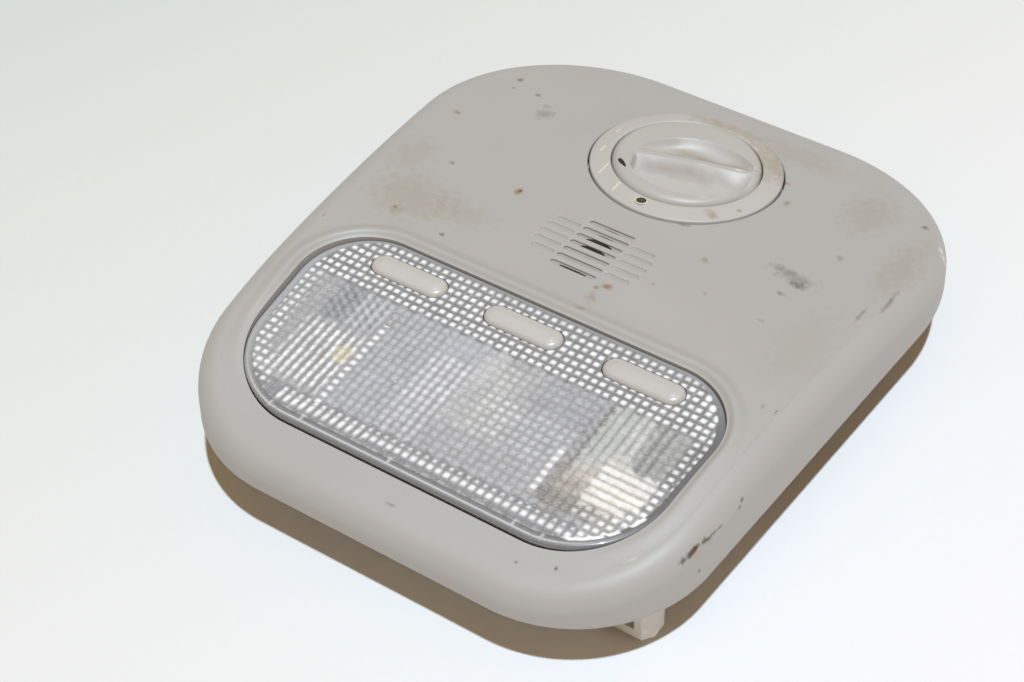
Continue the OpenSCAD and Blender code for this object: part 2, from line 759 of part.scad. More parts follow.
// Low crowned disc with two finger scoops that leave a grip between them
module dial_knob() {
    scoop_ball_r = 38;
    scoop_shift = scoop_r - 13;
    scoop_z = 2.6 + sqrt(scoop_ball_r * scoop_ball_r - scoop_r * scoop_r);
    hub_r = 6;
    profile = concat(
        [[0, knob_foot_z], [knob_r, knob_foot_z]],
        [for (a = [0:15:90]) [
            knob_r - knob_edge_r * (1 - cos(a)),
            knob_edge_z - knob_edge_r * (1 - sin(a))
        ]],
        [[knob_r / 2, knob_h - 0.15], [0, knob_h]]
    );
    color("#aeaaa3") in_dial() rotate([0, 0, grip_angle]) difference() {
        union() {
            rotate_extrude($fn = 96) polygon(profile);
            translate([0, 0, ring_flange_z + ring_flange_t + 0.3]) {
                cylinder(r = hub_r, h = knob_foot_z - ring_flange_z - ring_flange_t - 0.3 + eps);
            }
        }
        translate([0, 0, ring_flange_z]) cylinder(r = spindle_r, h = knob_foot_z - ring_flange_z);
        for (s = [-1, 1]) intersection() {
            translate([0, -s * scoop_shift, scoop_z]) sphere(r = scoop_ball_r, $fn = 96);
            translate([0, s * (grip_t / 2 + knob_r / 2), -1]) block([2 * knob_r, knob_r, 10]);
        }
    }
}
module spindle() {
    color("#d8d6cf") in_dial() {
        translate([0, 0, spindle_foot_z + 0.2]) cylinder(r = spindle_r, h = knob_foot_z - spindle_foot_z - 0.2);
    }
}
module rotary_switch() {
    color("#2a2b2e") in_dial() difference() {
        union() {
            ear_plate(ring_flange_z - switch_plate_t, switch_plate_t);
            translate([0, 0, ring_flange_z - switch_plate_t - switch_drum_h]) {
                cylinder(r = switch_r, h = switch_drum_h + eps);
            }
            translate([0, 0, switch_foot_z]) block([switch_box.x, switch_box.y, switch_box.z + eps]);
        }
        dial_screw_holes(ring_flange_z - switch_plate_t - 1, switch_plate_t + 2);
        translate([0, 0, spindle_foot_z]) {
            cylinder(r = spindle_r + spindle_gap, h = ring_flange_z - spindle_foot_z + eps);
        }
    }
}
module dial_screws() {
    head_z = ring_flange_z - switch_plate_t;
    color("#8d9094") in_dial() for (a = dial_boss_angles) rotate([0, 0, a]) {
        translate([dial_boss_r, 0, head_z - 1.8]) cylinder(r = 2.8, h = 1.8);
        translate([dial_boss_r, 0, head_z]) cylinder(r = screw_r, h = switch_plate_t + ring_flange_t + 2.6);
    }
}
// Rear cover of the rotary switch: stands on the ground and holds the plug socket
base_plug = [13, 4.6];
base_pin_n = 4;
base_l = 22;
base_w = 24;
base_mouth_y = dial_y + switch_foot_z * sin(dial_tilt) - base_l / 2;
base_cavity = 10;
base_h = 14;
module switch_base() {
    color("#2a2b2e") difference() {
        translate([0, base_mouth_y + base_l / 2, 0]) block([base_w, base_l, base_h]);
        in_dial() translate([0, 0, switch_foot_z]) block([3 * base_w, 3 * base_l, 2 * base_h]);
        translate([0, base_mouth_y - eps + base_cavity / 2, shroud_t]) block([base_plug.x, base_cavity, base_plug.y]);
    }
}
module switch_pins() {
    color("#c8a35a") translate([0, base_mouth_y + base_cavity - pin_free_l, shroud_t + base_plug.y / 2 - pin_t / 2]) {
        pin_row(base_pin_n, pin_free_l + 3);
    }
}

// Microphone behind the grille: a flanged holder in the bezel's socket, and its capsule
holder_top_z = socket_top_z - 0.9;
capsule_r = 4.8;
capsule_h = 4.2;
lip_t = 1.4;
module microphone_holder() {
    color("#a9a69f") translate([grille_x, grille_y, 0]) difference() {
        union() {
            translate([0, 0, socket_foot_z - eps]) cylinder(r = socket_r - 0.1, h = holder_top_z - socket_foot_z + eps);
            translate([0, 0, socket_foot_z - 1.5]) cylinder(r = socket_r + socket_t, h = 1.5);
        }
        translate([0, 0, socket_foot_z - 2]) cylinder(r = capsule_r + 0.05, h = holder_top_z - lip_t - socket_foot_z + 2);
        translate([0, 0, socket_foot_z]) cylinder(r = capsule_r - 0.6, h = 10);
    }
}
module microphone() {
    color("#1f2022") translate([grille_x, grille_y, holder_top_z - lip_t - capsule_h]) cylinder(r = capsule_r, h = capsule_h);
}

// Folded steel clip pushed onto a rib, with two sprung wings that hold in the roof panel
module spring_clip() {
    t = 0.6;
    foot = rib_foot_z - t;
    inner = rib_t / 2;
    wing = inner + 3.2;
    grip_z = rib_foot_z + 8;
    wing_z = rib_foot_z + 4;
    color("#9a9da1") translate([rib_x, rib_y + rib_l / 2 - 1, 0]) rotate([90, 0, 0]) linear_extrude(rib_l - 2) {
        polygon([
            [inner, rib_foot_z], [inner, grip_z], [inner + t, grip_z], [inner + t, foot + 1], [wing, wing_z],
            [wing + t, wing_z], [inner + t, foot], [-inner - t, foot], [-wing - t, wing_z], [-wing, wing_z],
            [-inner - t, foot + 1], [-inner - t, grip_z], [-inner, grip_z], [-inner, rib_foot_z]
        ]);
    }
}

module left_bulb() { bulb(-map_lamp_x); }
module centre_bulb() { bulb(0); }
module right_bulb() { bulb(map_lamp_x); }
module left_bulb_contacts() { bulb_contacts(-map_lamp_x); }
module centre_bulb_contacts() { bulb_contacts(0); }
module right_bulb_contacts() { bulb_contacts(map_lamp_x); }

module left_button() { button(-1); }
module centre_button() { button(0); }
module right_button() { button(1); }
module left_plunger() { plunger(-1); }
module centre_plunger() { plunger(0); }
module right_plunger() { plunger(1); }
module left_switch() { push_switch(-1); }
module centre_switch() { push_switch(0); }
module right_switch() { push_switch(1); }
module left_spring_clip() { mirror([1, 0, 0]) spring_clip(); }
module right_spring_clip() { spring_clip(); }

bezel();
lens();
reflector();
lamp_housing();
left_bulb();
centre_bulb();
right_bulb();
left_bulb_contacts();
centre_bulb_contacts();
right_bulb_contacts();
left_button();
centre_button();
right_button();
left_plunger();
centre_plunger();
right_plunger();
left_switch();
centre_switch();
right_switch();
circuit_board();
board_screws();
feed_strip();
lamp_connector();
lamp_pins();
housing_screws();
dial_ring();
indicator_lens();
dial_knob();
spindle();
rotary_switch();
switch_base();
switch_pins();
dial_screws();
microphone_holder();
microphone();
left_spring_clip();
right_spring_clip();
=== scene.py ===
# %% [markdown]
# A car's overhead light lies face up on a white table: a crowned grey bezel, a
# clear lamp lens with three buttons, a small grille and a rotary dial. The
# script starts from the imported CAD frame, which fixes every size and place.
# Each visible moulding is then made again as a fine surface that is worked out
# with numpy, and the pieces that are hidden keep their CAD solids.

# %% Frame and tools
import math
import bpy
import bmesh
import numpy as np
from mathutils import Matrix, Vector


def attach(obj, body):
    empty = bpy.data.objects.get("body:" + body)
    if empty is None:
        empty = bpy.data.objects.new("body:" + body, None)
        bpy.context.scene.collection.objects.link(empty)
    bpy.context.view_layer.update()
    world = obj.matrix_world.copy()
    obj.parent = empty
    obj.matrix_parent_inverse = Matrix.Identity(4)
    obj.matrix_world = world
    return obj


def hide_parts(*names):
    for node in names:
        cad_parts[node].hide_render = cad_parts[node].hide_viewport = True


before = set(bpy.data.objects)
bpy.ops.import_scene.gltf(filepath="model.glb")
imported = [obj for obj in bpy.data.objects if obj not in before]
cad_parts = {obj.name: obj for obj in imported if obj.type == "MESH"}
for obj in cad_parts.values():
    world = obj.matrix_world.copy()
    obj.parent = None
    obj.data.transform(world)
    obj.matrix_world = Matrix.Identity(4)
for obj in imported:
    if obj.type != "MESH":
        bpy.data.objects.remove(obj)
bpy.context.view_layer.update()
MM = 0.001

# %% [markdown]
# The sizes are the CAD model's own driving sizes, in millimetres. The bezel is
# outlined by corner arcs of two radii, joined by straight sides, and its face
# follows one long arc towards the dial and a tighter one towards the lamp.

# %% Driving sizes
BEZEL_L, LAMP_END_W, DIAL_END_W = 175.0, 135.4, 147.6
LAMP_CORNER_R, DIAL_CORNER_R = 36.0, 47.0
WALL, RIM_H, CROWN_H, CREST_R, WALL_DRAFT = 2.2, 14.0, 17.4, 6.0, 2.3
CROWN_Y = -BEZEL_L / 2 + 57.9
CROWN_DIAL_R, CROWN_LAMP_R = 515.0, 162.0
LENS_Z, LENS_TILT, LENS_D, LENS_T = 28.9, 3.7, 57.5, 2.4
LENS_NEAR_W, LENS_FAR_W, LENS_NEAR_R, LENS_FAR_R = 112.2, 114.4, 23.6, 17.7
LENS_GAP, LIP_W, LIP_H = 0.4, 5.4, 1.1
LAMP_Y = -BEZEL_L / 2 + 41.6
BUTTON_PITCH, BUTTON_Y, BUTTON_L, BUTTON_W = 32.9, LENS_D / 2 - 7.45, 21.4, 6.6
BUTTON_PROUD, BUTTON_EDGE_R = 1.3, 1.6
DIAL_Y, DIAL_TILT, RING_R, KNOB_R = BEZEL_L / 2 - 36.6, 8.0, 25.0, 19.3
KNOB_H = 3.6
GRILLE_X, SLOT_N, SLOT_PITCH, SLOT_W, SLOT_L, GRILLE_R = -0.8, 7, 3.0, 1.5, 12.7, 15.0
GRILLE_Y = (LAMP_Y + LENS_D / 2 + DIAL_Y - RING_R) / 2 + 2.7
BEZEL_NEAR = (LAMP_END_W / 2, -BEZEL_L / 2, LAMP_CORNER_R)
BEZEL_FAR = (DIAL_END_W / 2, BEZEL_L / 2, DIAL_CORNER_R)
LENS_NEAR = (LENS_NEAR_W / 2, -LENS_D / 2, LENS_NEAR_R)
LENS_FAR = (LENS_FAR_W / 2, LENS_D / 2, LENS_FAR_R)
HOLE_NEAR = (LENS_NEAR[0] + LENS_GAP, LAMP_Y + LENS_NEAR[1] - LENS_GAP, LENS_NEAR_R + LENS_GAP)
HOLE_FAR = (LENS_FAR[0] + LENS_GAP, LAMP_Y + LENS_FAR[1] + LENS_GAP, LENS_FAR_R + LENS_GAP)
print("lens centre", round(LAMP_Y, 1), "dial centre", round(DIAL_Y, 1), "grille", round(GRILLE_Y, 1))


# %% Height of the crowned face
def face_z(y):
    """Height of the face over y: a circle's fall r - sqrt(r^2 - d^2) below the crown line."""
    r = np.where(y > CROWN_Y, CROWN_DIAL_R, CROWN_LAMP_R)
    d = y - CROWN_Y
    return RIM_H + CROWN_H - (r - np.sqrt(r * r - d * d))


DIAL_Z = float(face_z(np.array(DIAL_Y)))
print("dial plane height", round(DIAL_Z, 2))

# %% [markdown]
# The photograph's viewpoint was fitted to the outlines of the bezel, the lens,
# the dial and the buttons, so the camera is written here as a place and three
# directions: to the right, down and into the picture.

# %% Camera
LOOK_RIGHT = Vector((0.83105695, 0.55546943, -0.02824981))
LOOK_DOWN = Vector((0.37623958, -0.5988599, -0.70697284))
LOOK_IN = Vector((-0.40961948, 0.576906, -0.70667627))
EYE = Vector((0.20015, -0.31138, 0.37520))
camera_data = bpy.data.cameras.new("camera")
camera_data.sensor_width, camera_data.lens = 36.0, 73.77
camera_data.clip_start, camera_data.clip_end = 0.01, 20.0
camera = bpy.data.objects.new("camera", camera_data)
camera.matrix_world = Matrix.Translation(EYE) @ Matrix((LOOK_RIGHT, -LOOK_DOWN,
    -LOOK_IN)).transposed().to_4x4()
bpy.context.scene.collection.objects.link(camera)
bpy.context.scene.camera = camera
print("camera at", tuple(round(v, 3) for v in EYE))


# %% [markdown]
# Colours are read off the real thing as sRGB hex values and turned to linear
# light by one function. One more small function adds a shader node with its
# settings and its links, and every finish below is written with it.

# %% Colour and node helpers
def tint(code, alpha=1.0):
    """Linear light of a hex sRGB colour: each channel through the sRGB curve."""
    parts = [int(code[i:i + 2], 16) / 255 for i in (1, 3, 5)]
    return tuple(c / 12.92 if c <= 0.04045 else ((c + 0.055) / 1.055) ** 2.4 for c in parts) + (alpha,)


def add(tree, kind, links=None, **settings):
    """Adds a node. A setting names a property or an input; a link maps an input to another node's socket."""
    made = tree.nodes.new(kind)
    for key, value in settings.items():
        if hasattr(made, key):
            setattr(made, key, value)
    for key, value in (links or {}).items():
        if isinstance(value, bpy.types.NodeSocket):
            tree.links.new(value, made.inputs[key])
        else:
            made.inputs[key].default_value = value
    return made


def new_finish(name):
    """An empty material with a Principled shader, as (material, tree, shader)."""
    made = bpy.data.materials.new(name)
    made.use_nodes = True
    return made, made.node_tree, made.node_tree.nodes["Principled BSDF"]


# %% [markdown]
# Most of the mouldings share one way of ageing: a spark-eroded mould leaves a
# fine grain, handling polishes it in patches, and dust dulls it. One function
# builds that plastic from its own numbers, so that each piece differs only in
# colour, gloss and the size of its grain.

# %% Moulded plastic
def moulded_plastic(name, light, dark, rough, grain_mm, grain_depth, patch_mm=14.0, coat=0.0, ior=1.49):
    """Two noises: a broad one mixes two colours and the gloss, a fine one is the mould's grain as bump."""
    made, tree, shader = new_finish(name)
    place = add(tree, "ShaderNodeTexCoord")
    patch = add(tree, "ShaderNodeTexNoise",
        {"Vector": place.outputs["Object"], "Scale": 1000 / patch_mm, "Detail": 4.0})
    grain = add(tree, "ShaderNodeTexNoise",
        {"Vector": place.outputs["Object"], "Scale": 1000 / grain_mm, "Detail": 3.0})
    shade = add(tree, "ShaderNodeMix", {0: patch.outputs["Fac"], 6: tint(dark), 7: tint(light)},
        data_type="RGBA")
    gloss = add(tree, "ShaderNodeMapRange",
        {"Value": patch.outputs["Fac"], "To Min": rough - 0.06, "To Max": rough + 0.06})
    bump = add(tree, "ShaderNodeBump",
        {"Height": grain.outputs["Fac"], "Distance": grain_depth * MM, "Strength": 0.6})
    tree.links.new(shade.outputs[2], shader.inputs["Base Color"])
    tree.links.new(gloss.outputs["Result"], shader.inputs["Roughness"])
    tree.links.new(bump.outputs["Normal"], shader.inputs["Normal"])
    shader.inputs["IOR"].default_value = ior
    shader.inputs["Coat Weight"].default_value = coat
    shader.inputs["Coat Roughness"].default_value = 0.25
    return made


# %% [markdown]
# The bezel is ABS, moulded in a grey that has yellowed a little. On it lie a
# brown scuff by the near right corner, a pale chip whose pale spot is also a
# painted highlight on its broken edge, and some specks of dirt. Each mark is a
# soft blob round one place on the piece, torn at its edge by a noise, so it
# stays on the plastic when the view turns.

# %% Bezel finish
BROWN, RUST, GREY, DUST = "#55453a", "#96704c", "#77746e", "#a2967f"
FACE_MARKS = [
    # place x, y on the face in mm, half length along x and y, strength, colour
    (-57.4, 60.0, 1.0, 0.9, 0.75, GREY), (-56.3, 55.4, 0.6, 0.6, 0.6, GREY),
    (-49.3, 56.4, 1.0, 0.7, 0.65, GREY),
    (-42.5, 49.5, 2.2, 3.0, 0.40, GREY), (-44.0, 52.8, 1.2, 1.4, 0.35, GREY),
    (-61.3, 36.0, 1.0, 1.0, 0.55, RUST),
    (-49.0, 16.2, 1.1, 0.7, 0.55, BROWN), (-28.6, 16.0, 1.5, 1.4, 0.8, RUST),
    (-28.2, 16.4, 0.6, 0.6, 0.7, BROWN),
    (-49.2, -6.8, 2.3, 1.5, 0.45, DUST), (-50.4, -6.4, 0.7, 0.6, 0.6, BROWN),
    (-34.5, -8.7, 0.9, 0.7, 0.6, BROWN),
    (-49.5, -1.3, 12.0, 9.0, 0.30, DUST), (-36.0, 0.5, 10.0, 5.0, 0.22, DUST),
    (-60.0, 14.0, 5.0, 9.0, 0.20, DUST),
    (12.2, 28.6, 1.7, 1.4, 0.6, BROWN), (9.5, -3.0, 1.8, 1.2, 0.75, RUST), (7.4, -4.4, 0.8, 0.7, 0.6, RUST),
    (8.1, -8.3, 1.6, 1.8, 0.35, RUST), (8.5, -13.4, 1.2, 1.0, 0.4, RUST), (23.5, 18.9, 1.4, 1.1, 0.4, RUST),
    (44.2, 25.7, 6.5, 2.0, 0.45, GREY), (47.0, 23.4, 2.4, 1.3, 0.60, BROWN),
    (40.0, 27.0, 3.0, 1.5, 0.40, GREY),
    (44.6, 18.4, 1.4, 0.8, 0.5, BROWN), (49.9, 39.2, 1.0, 1.3, 0.4, GREY),
    (67.4, 30.2, 0.7, 5.0, 0.5, BROWN),
    (64.0, 22.0, 0.5, 4.0, 0.4, BROWN), (60.9, 64.2, 1.0, 0.8, 0.6, BROWN),
    (47.4, 60.7, 7.0, 11.0, 0.28, DUST),
    (64.0, 45.0, 5.0, 14.0, 0.28, DUST), (23.6, 60.2, 2.2, 1.0, 0.45, RUST),
    (28.5, 52.0, 0.8, 1.6, 0.5, RUST),
    (58.0, 4.0, 8.0, 14.0, 0.14, DUST), (-10.0, 60.0, 22.0, 12.0, 0.12, DUST),
    (20.0, 74.0, 16.0, 5.0, 0.22, DUST),
    (1.7, -80.8, 1.6, 0.5, 0.5, GREY), (42.9, -77.1, 0.6, 0.6, 0.8, BROWN),
    (34.3, -79.6, 0.5, 0.5, 0.5, BROWN),
    (66.2, -66.8, 0.6, 1.0, 0.75, BROWN), (45.4, 7.0, 1.2, 0.5, 0.35, GREY),
    (30.0, 8.0, 0.6, 0.6, 0.4, RUST),
    (-20.0, 40.0, 0.7, 0.5, 0.4, GREY), (18.0, 4.0, 0.8, 0.6, 0.35, RUST),
    (60.0, -18.0, 0.6, 0.8, 0.3, GREY),
]
# Pale: a chip in the bezel's wall and crumbs on the tray's leg, and the same pale as painted highlight on
# that chip's broken edge and along the knob's near scoop.
PALE_CHIP_AND_HIGHLIGHT = "#e6e4df"
WALL_MARKS = [
    # place x, y, z, half lengths along x, y, z, strength, colour
    (66.2, -56.0, 25.5, 2.0, 6.5, 1.8, 0.30, DUST), (65.0, -61.3, 25.4, 0.8, 1.5, 0.9, 0.80, BROWN),
    (65.6, -59.3, 25.8, 0.6, 1.6, 0.7, 0.90, BROWN), (65.9, -57.3, 26.3, 0.5, 1.6, 0.6, 0.95, BROWN),
    (66.4, -55.5, 26.2, 0.6, 1.5, 0.7, 0.90, BROWN), (66.8, -53.7, 25.9, 0.5, 1.5, 0.6, 0.85, BROWN),
    (67.0, -51.6, 25.9, 0.4, 1.4, 0.5, 0.70, BROWN), (67.2, -49.5, 25.9, 0.4, 1.2, 0.4, 0.55, BROWN),
    (67.0, -57.6, 19.2, 0.5, 0.6, 0.6, 0.75, BROWN), (67.7, -40.9, 26.7, 0.6, 0.7, 0.6, 0.75, BROWN),
    # The pale marks near y 58 are a chip in the wall, and their pale is also a painted highlight on its
    # broken edge.
    (67.9, -42.0, 25.5, 0.5, 0.6, 0.5, 0.65, BROWN), (67.6, 59.2, 22.2, 1.0, 1.3, 1.0, 0.80, PALE_CHIP_AND_HIGHLIGHT),
    (69.0, 58.0, 21.3, 0.9, 1.1, 0.9, 0.75, PALE_CHIP_AND_HIGHLIGHT), (70.0, 57.0, 20.5, 0.7, 0.9, 0.8, 0.70, PALE_CHIP_AND_HIGHLIGHT),
]


def stain(tree, base, place, torn, mark, rag=1.5):
    """Mixes one mark over a colour: distance from its place in its own lengths, torn by the noise."""
    x, y, z, rx, ry, rz, strength, colour = mark
    away = add(tree, "ShaderNodeVectorMath", {0: place, 1: (x * MM, y * MM, z * MM)}, operation="SUBTRACT")
    scaled = add(tree, "ShaderNodeVectorMath", {0: away.outputs[0], 1: (1000 / rx, 1000 / ry, 1000 / rz)},
        operation="MULTIPLY")
    reach = add(tree, "ShaderNodeVectorMath", {0: scaled.outputs[0]}, operation="LENGTH")
    ragged = add(tree, "ShaderNodeMath", {0: torn, 1: 2 * rag, 2: -rag}, operation="MULTIPLY_ADD")
    edge = add(tree, "ShaderNodeMath", {0: reach.outputs["Value"], 1: ragged.outputs[0]}, operation="ADD")
    mask = add(tree, "ShaderNodeMapRange",
        {"Value": edge.outputs[0], "From Min": 0.3, "From Max": 1.2, "To Min": strength, "To Max": 0.0})
    return add(tree, "ShaderNodeMix", {0: mask.outputs["Result"], 6: base, 7: tint(colour)},
        data_type="RGBA").outputs[2]


def stained(made, marks, torn_mm=2.2, rag=1.5):
    """Puts marks over a finish's base colour."""
    tree = made.node_tree
    shader = tree.nodes["Principled BSDF"]
    base = shader.inputs["Base Color"].links[0].from_socket
    place = add(tree, "ShaderNodeTexCoord").outputs["Object"]
    torn = add(tree, "ShaderNodeTexNoise",
        {"Vector": place, "Scale": 1000 / torn_mm, "Detail": 6.0, "Roughness": 0.65}).outputs["Fac"]
    for mark in marks:
        base = stain(tree, base, place, torn, mark, rag)
    tree.links.new(base, shader.inputs["Base Color"])
    return made


def bezel_finish():
    """Moulded plastic, with every mark of the face and the wall mixed over it."""
    plain = moulded_plastic("abs_bezel_spark_eroded", "#bebcb9", "#b5b3af", 0.46, 0.55, 0.035, 45.0)
    on_face = [(x, y, float(face_z(np.array(y))), rx, ry, 6.0, strength, colour)
        for x, y, rx, ry, strength, colour in FACE_MARKS]
    return stained(plain, on_face + WALL_MARKS)


BEZEL_FINISH = bezel_finish()
print("bezel finish with", len(FACE_MARKS) + len(WALL_MARKS), "marks")

# %% [markdown]
# The other finishes: the dial parts are the same ABS, the buttons a smoother
# milky polycarbonate, the rear tray white PBT, the contacts brass, the screws
# zinc plated and the clips spring steel. Metals get a fine brushed streak.

# %% Other plastics
RING_FINISH = moulded_plastic("abs_ring_spark_eroded", "#cbc8c4", "#c2bfba", 0.44, 0.5, 0.03)
KNOB_FINISH = moulded_plastic("abs_knob_spark_eroded", "#c6c3bf", "#bebbb6", 0.42, 0.5, 0.03)
BUTTON_FINISH = moulded_plastic("polycarbonate_button_milky", "#d2d0cc", "#cac7c2", 0.33, 0.8, 0.01, 9.0,
    0.5, 1.58)
HOUSING_FINISH = moulded_plastic("pbt_tray_white", "#dddbd4", "#d0cdc4", 0.5, 0.6, 0.03)
DARK_FINISH = moulded_plastic("pbt_switch_black", "#333437", "#28292b", 0.45, 0.5, 0.03)
CONNECTOR_FINISH = moulded_plastic("pa66_connector_grey", "#55565a", "#48494c", 0.42, 0.5, 0.03)
# The holder plate has its own grey, set a little darker than the bezel's as painted shade in the grille's
# shallow slots.
HOLDER_FINISH = moulded_plastic("abs_holder_grey", "#b2afaa", "#a8a5a0", 0.5, 0.5, 0.03)
# Flat black for the sheets of painted shade that stand for the dark hole and gap seen through the grille's
# slots.
SLOT_SHADE_FINISH = moulded_plastic("painted_slot_shade_black", "#2c2b2a", "#1d1c1c", 0.8, 0.3, 0.04)
SPINDLE_FINISH = moulded_plastic("acetal_spindle_natural", "#e2e0d9", "#d8d5cc", 0.36, 0.6, 0.02)
TICK_FINISH = moulded_plastic("printed_ink_cream", "#e9e4d2", "#dfd9c5", 0.5, 0.3, 0.01)
MARK_FINISH = moulded_plastic("printed_ink_dark", "#3c3a37", "#2f2d2b", 0.5, 0.3, 0.01)
INDICATOR_FINISH = moulded_plastic("polycarbonate_indicator_smoke", "#4b4a44", "#3c3b37", 0.25, 0.4, 0.01,
    6.0, 0.6, 1.58)
BOARD_FINISH = moulded_plastic("fr4_board_solder_resist", "#2f6b45", "#285c3b", 0.3, 0.9, 0.03, 8.0, 0.6)


# %% Metals and glass
def worked_metal(name, light, dark, rough, streak_mm, stretch=14.0):
    """A noise stretched along X mixes two metal colours and the gloss, as drawing or plating leaves it."""
    made, tree, shader = new_finish(name)
    place = add(tree, "ShaderNodeTexCoord")
    turned = add(tree, "ShaderNodeMapping",
        {"Vector": place.outputs["Object"], "Scale": (1 / stretch, 1.0, 1.0)})
    streak = add(tree, "ShaderNodeTexNoise",
        {"Vector": turned.outputs[0], "Scale": 1000 / streak_mm, "Detail": 5.0})
    shade = add(tree, "ShaderNodeMix", {0: streak.outputs["Fac"], 6: tint(dark), 7: tint(light)},
        data_type="RGBA")
    gloss = add(tree, "ShaderNodeMapRange",
        {"Value": streak.outputs["Fac"], "To Min": rough - 0.08, "To Max": rough + 0.1})
    bump = add(tree, "ShaderNodeBump",
        {"Height": streak.outputs["Fac"], "Distance": 0.01 * MM, "Strength": 0.5})
    tree.links.new(shade.outputs[2], shader.inputs["Base Color"])
    tree.links.new(gloss.outputs["Result"], shader.inputs["Roughness"])
    tree.links.new(bump.outputs["Normal"], shader.inputs["Normal"])
    shader.inputs["Metallic"].default_value = 1.0
    return made


REFLECTOR_FINISH = worked_metal("aluminium_film_vacuum_coated", "#e6e8ea", "#d6d8db", 0.18, 3.0, 1.0)
CONTACT_FINISH = worked_metal("brass_strip_rolled", "#d9b46a", "#b98f45", 0.3, 0.4)
SCREW_FINISH = worked_metal("steel_screw_zinc_plated", "#c3c7cb", "#a3a7ab", 0.3, 0.5, 2.0)
SPRING_FINISH = worked_metal("spring_steel_bright", "#b4b7ba", "#96999c", 0.28, 0.5)
CAPSULE_FINISH = worked_metal("aluminium_capsule_black", "#3a3b3d", "#2a2b2c", 0.4, 0.5, 1.0)


def lamp_glass():
    """Clear glass of the wedge bulbs, faintly rippled by a broad noise as drawn glass is."""
    made, tree, shader = new_finish("soda_lime_glass_drawn")
    place = add(tree, "ShaderNodeTexCoord")
    ripple = add(tree, "ShaderNodeTexNoise", {"Vector": place.outputs["Object"], "Scale": 250.0})
    bump = add(tree, "ShaderNodeBump",
        {"Height": ripple.outputs["Fac"], "Distance": 0.1 * MM, "Strength": 0.3})
    tree.links.new(bump.outputs["Normal"], shader.inputs["Normal"])
    shader.inputs["Base Color"].default_value = tint("#f4f6f6")
    shader.inputs["Roughness"].default_value = 0.03
    shader.inputs["IOR"].default_value = 1.52
    shader.inputs["Transmission Weight"].default_value = 1.0
    return made


GLASS_FINISH = lamp_glass()
print("finishes made:", len(bpy.data.materials))

# %% [markdown]
# A surface is a grid of points. The first helper turns points and four-sided
# faces into a Blender mesh in one go, merges the points that fell together,
# and shades it smooth except where two faces meet at a sharp angle.

# %% Mesh helpers
def make_piece(name, points, quads, finish, body, slot, replaced=(), sharp=38.0, colours=None, fill=False):
    """Points in mm and quads become one finished object on a body; fill closes an open flat bottom."""
    mesh = bpy.data.meshes.new(name)
    mesh.vertices.add(len(points))
    mesh.vertices.foreach_set("co", (np.asarray(points, float) * MM).astype(np.float32).ravel())
    mesh.loops.add(quads.size)
    mesh.loops.foreach_set("vertex_index", quads.astype(np.int32).ravel())
    mesh.polygons.add(len(quads))
    mesh.polygons.foreach_set("loop_start", np.arange(0, quads.size, 4, dtype=np.int32))
    mesh.update(calc_edges=True)
    if colours is not None:
        layer = mesh.attributes.new("painted_prism_light", "FLOAT_COLOR", "POINT")
        layer.data.foreach_set("color", colours.astype(np.float32).ravel())
    tidy = bmesh.new()
    tidy.from_mesh(mesh)
    bmesh.ops.remove_doubles(tidy, verts=tidy.verts, dist=0.004 * MM)
    bmesh.ops.dissolve_degenerate(tidy, edges=tidy.edges, dist=0.002 * MM)
    if fill:
        rim = [edge for edge in tidy.edges if edge.is_boundary]
        bmesh.ops.triangle_fill(tidy, use_beauty=True, use_dissolve=False, edges=rim)
        bmesh.ops.recalc_face_normals(tidy, faces=tidy.faces)
    tidy.to_mesh(mesh)
    tidy.free()
    finish_mesh(mesh, sharp)
    return place_piece(name, mesh, finish, body, replaced)


def finish_mesh(mesh, sharp):
    """Smooth shading, with edges sharper than the angle kept."""
    mesh.polygons.foreach_set("use_smooth", np.ones(len(mesh.polygons), dtype=bool))
    mesh.set_sharp_from_angle(angle=math.radians(sharp))
    mesh.update()


def place_piece(name, mesh, finish, body, replaced):
    """Links the object with its finish, hides the CAD parts that it replaces and puts it on its body."""
    made = bpy.data.objects.new(name, mesh)
    mesh.materials.clear()
    mesh.materials.append(finish)
    bpy.context.scene.collection.objects.link(made)
    if replaced:
        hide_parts(*replaced)
    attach(made, body)
    print(name, "faces", len(mesh.polygons), "size mm", [round(v / MM, 1) for v in made.dimensions])
    return made


def loop_quads(rows, columns, close_rows):
    """Quads of a grid whose columns close round; the rows close too when asked."""
    row = np.arange(rows if close_rows else rows - 1)[:, None]
    col = np.arange(columns)[None, :]
    nxt, side = (row + 1) % rows, (col + 1) % columns
    return np.stack([row * columns + col, row * columns + side, nxt * columns + side,
        nxt * columns + col], -1).reshape(-1, 4)


# %% Frames of the lamp and the dial
def turn_x(points, degrees, y, z):
    """Tilts points about X by the angle and moves them to (0, y, z)."""
    c, s = math.cos(math.radians(degrees)), math.sin(math.radians(degrees))
    x0, y0, z0 = points[..., 0], points[..., 1], points[..., 2]
    return np.stack([x0, y + y0 * c - z0 * s, z + y0 * s + z0 * c], -1)


def in_lamp(points):
    """From the lens's own plane to the whole light."""
    return turn_x(points, LENS_TILT, LAMP_Y, LENS_Z)


def in_dial(points, spin=0.0):
    """From the dial's own plane to the whole light, after a turn about its axis."""
    c, s = math.cos(math.radians(spin)), math.sin(math.radians(spin))
    x0, y0 = points[..., 0], points[..., 1]
    turned = np.stack([x0 * c - y0 * s, x0 * s + y0 * c, points[..., 2]], -1)
    return turn_x(turned, -DIAL_TILT, DIAL_Y, DIAL_Z)


# %% [markdown]
# The outline of the bezel, of its lamp opening and of the lens are built the
# same way: an arc, a slightly leaning straight side, an arc, then the mirror
# image. Each point keeps its outward normal, so a parallel curve is one sum.

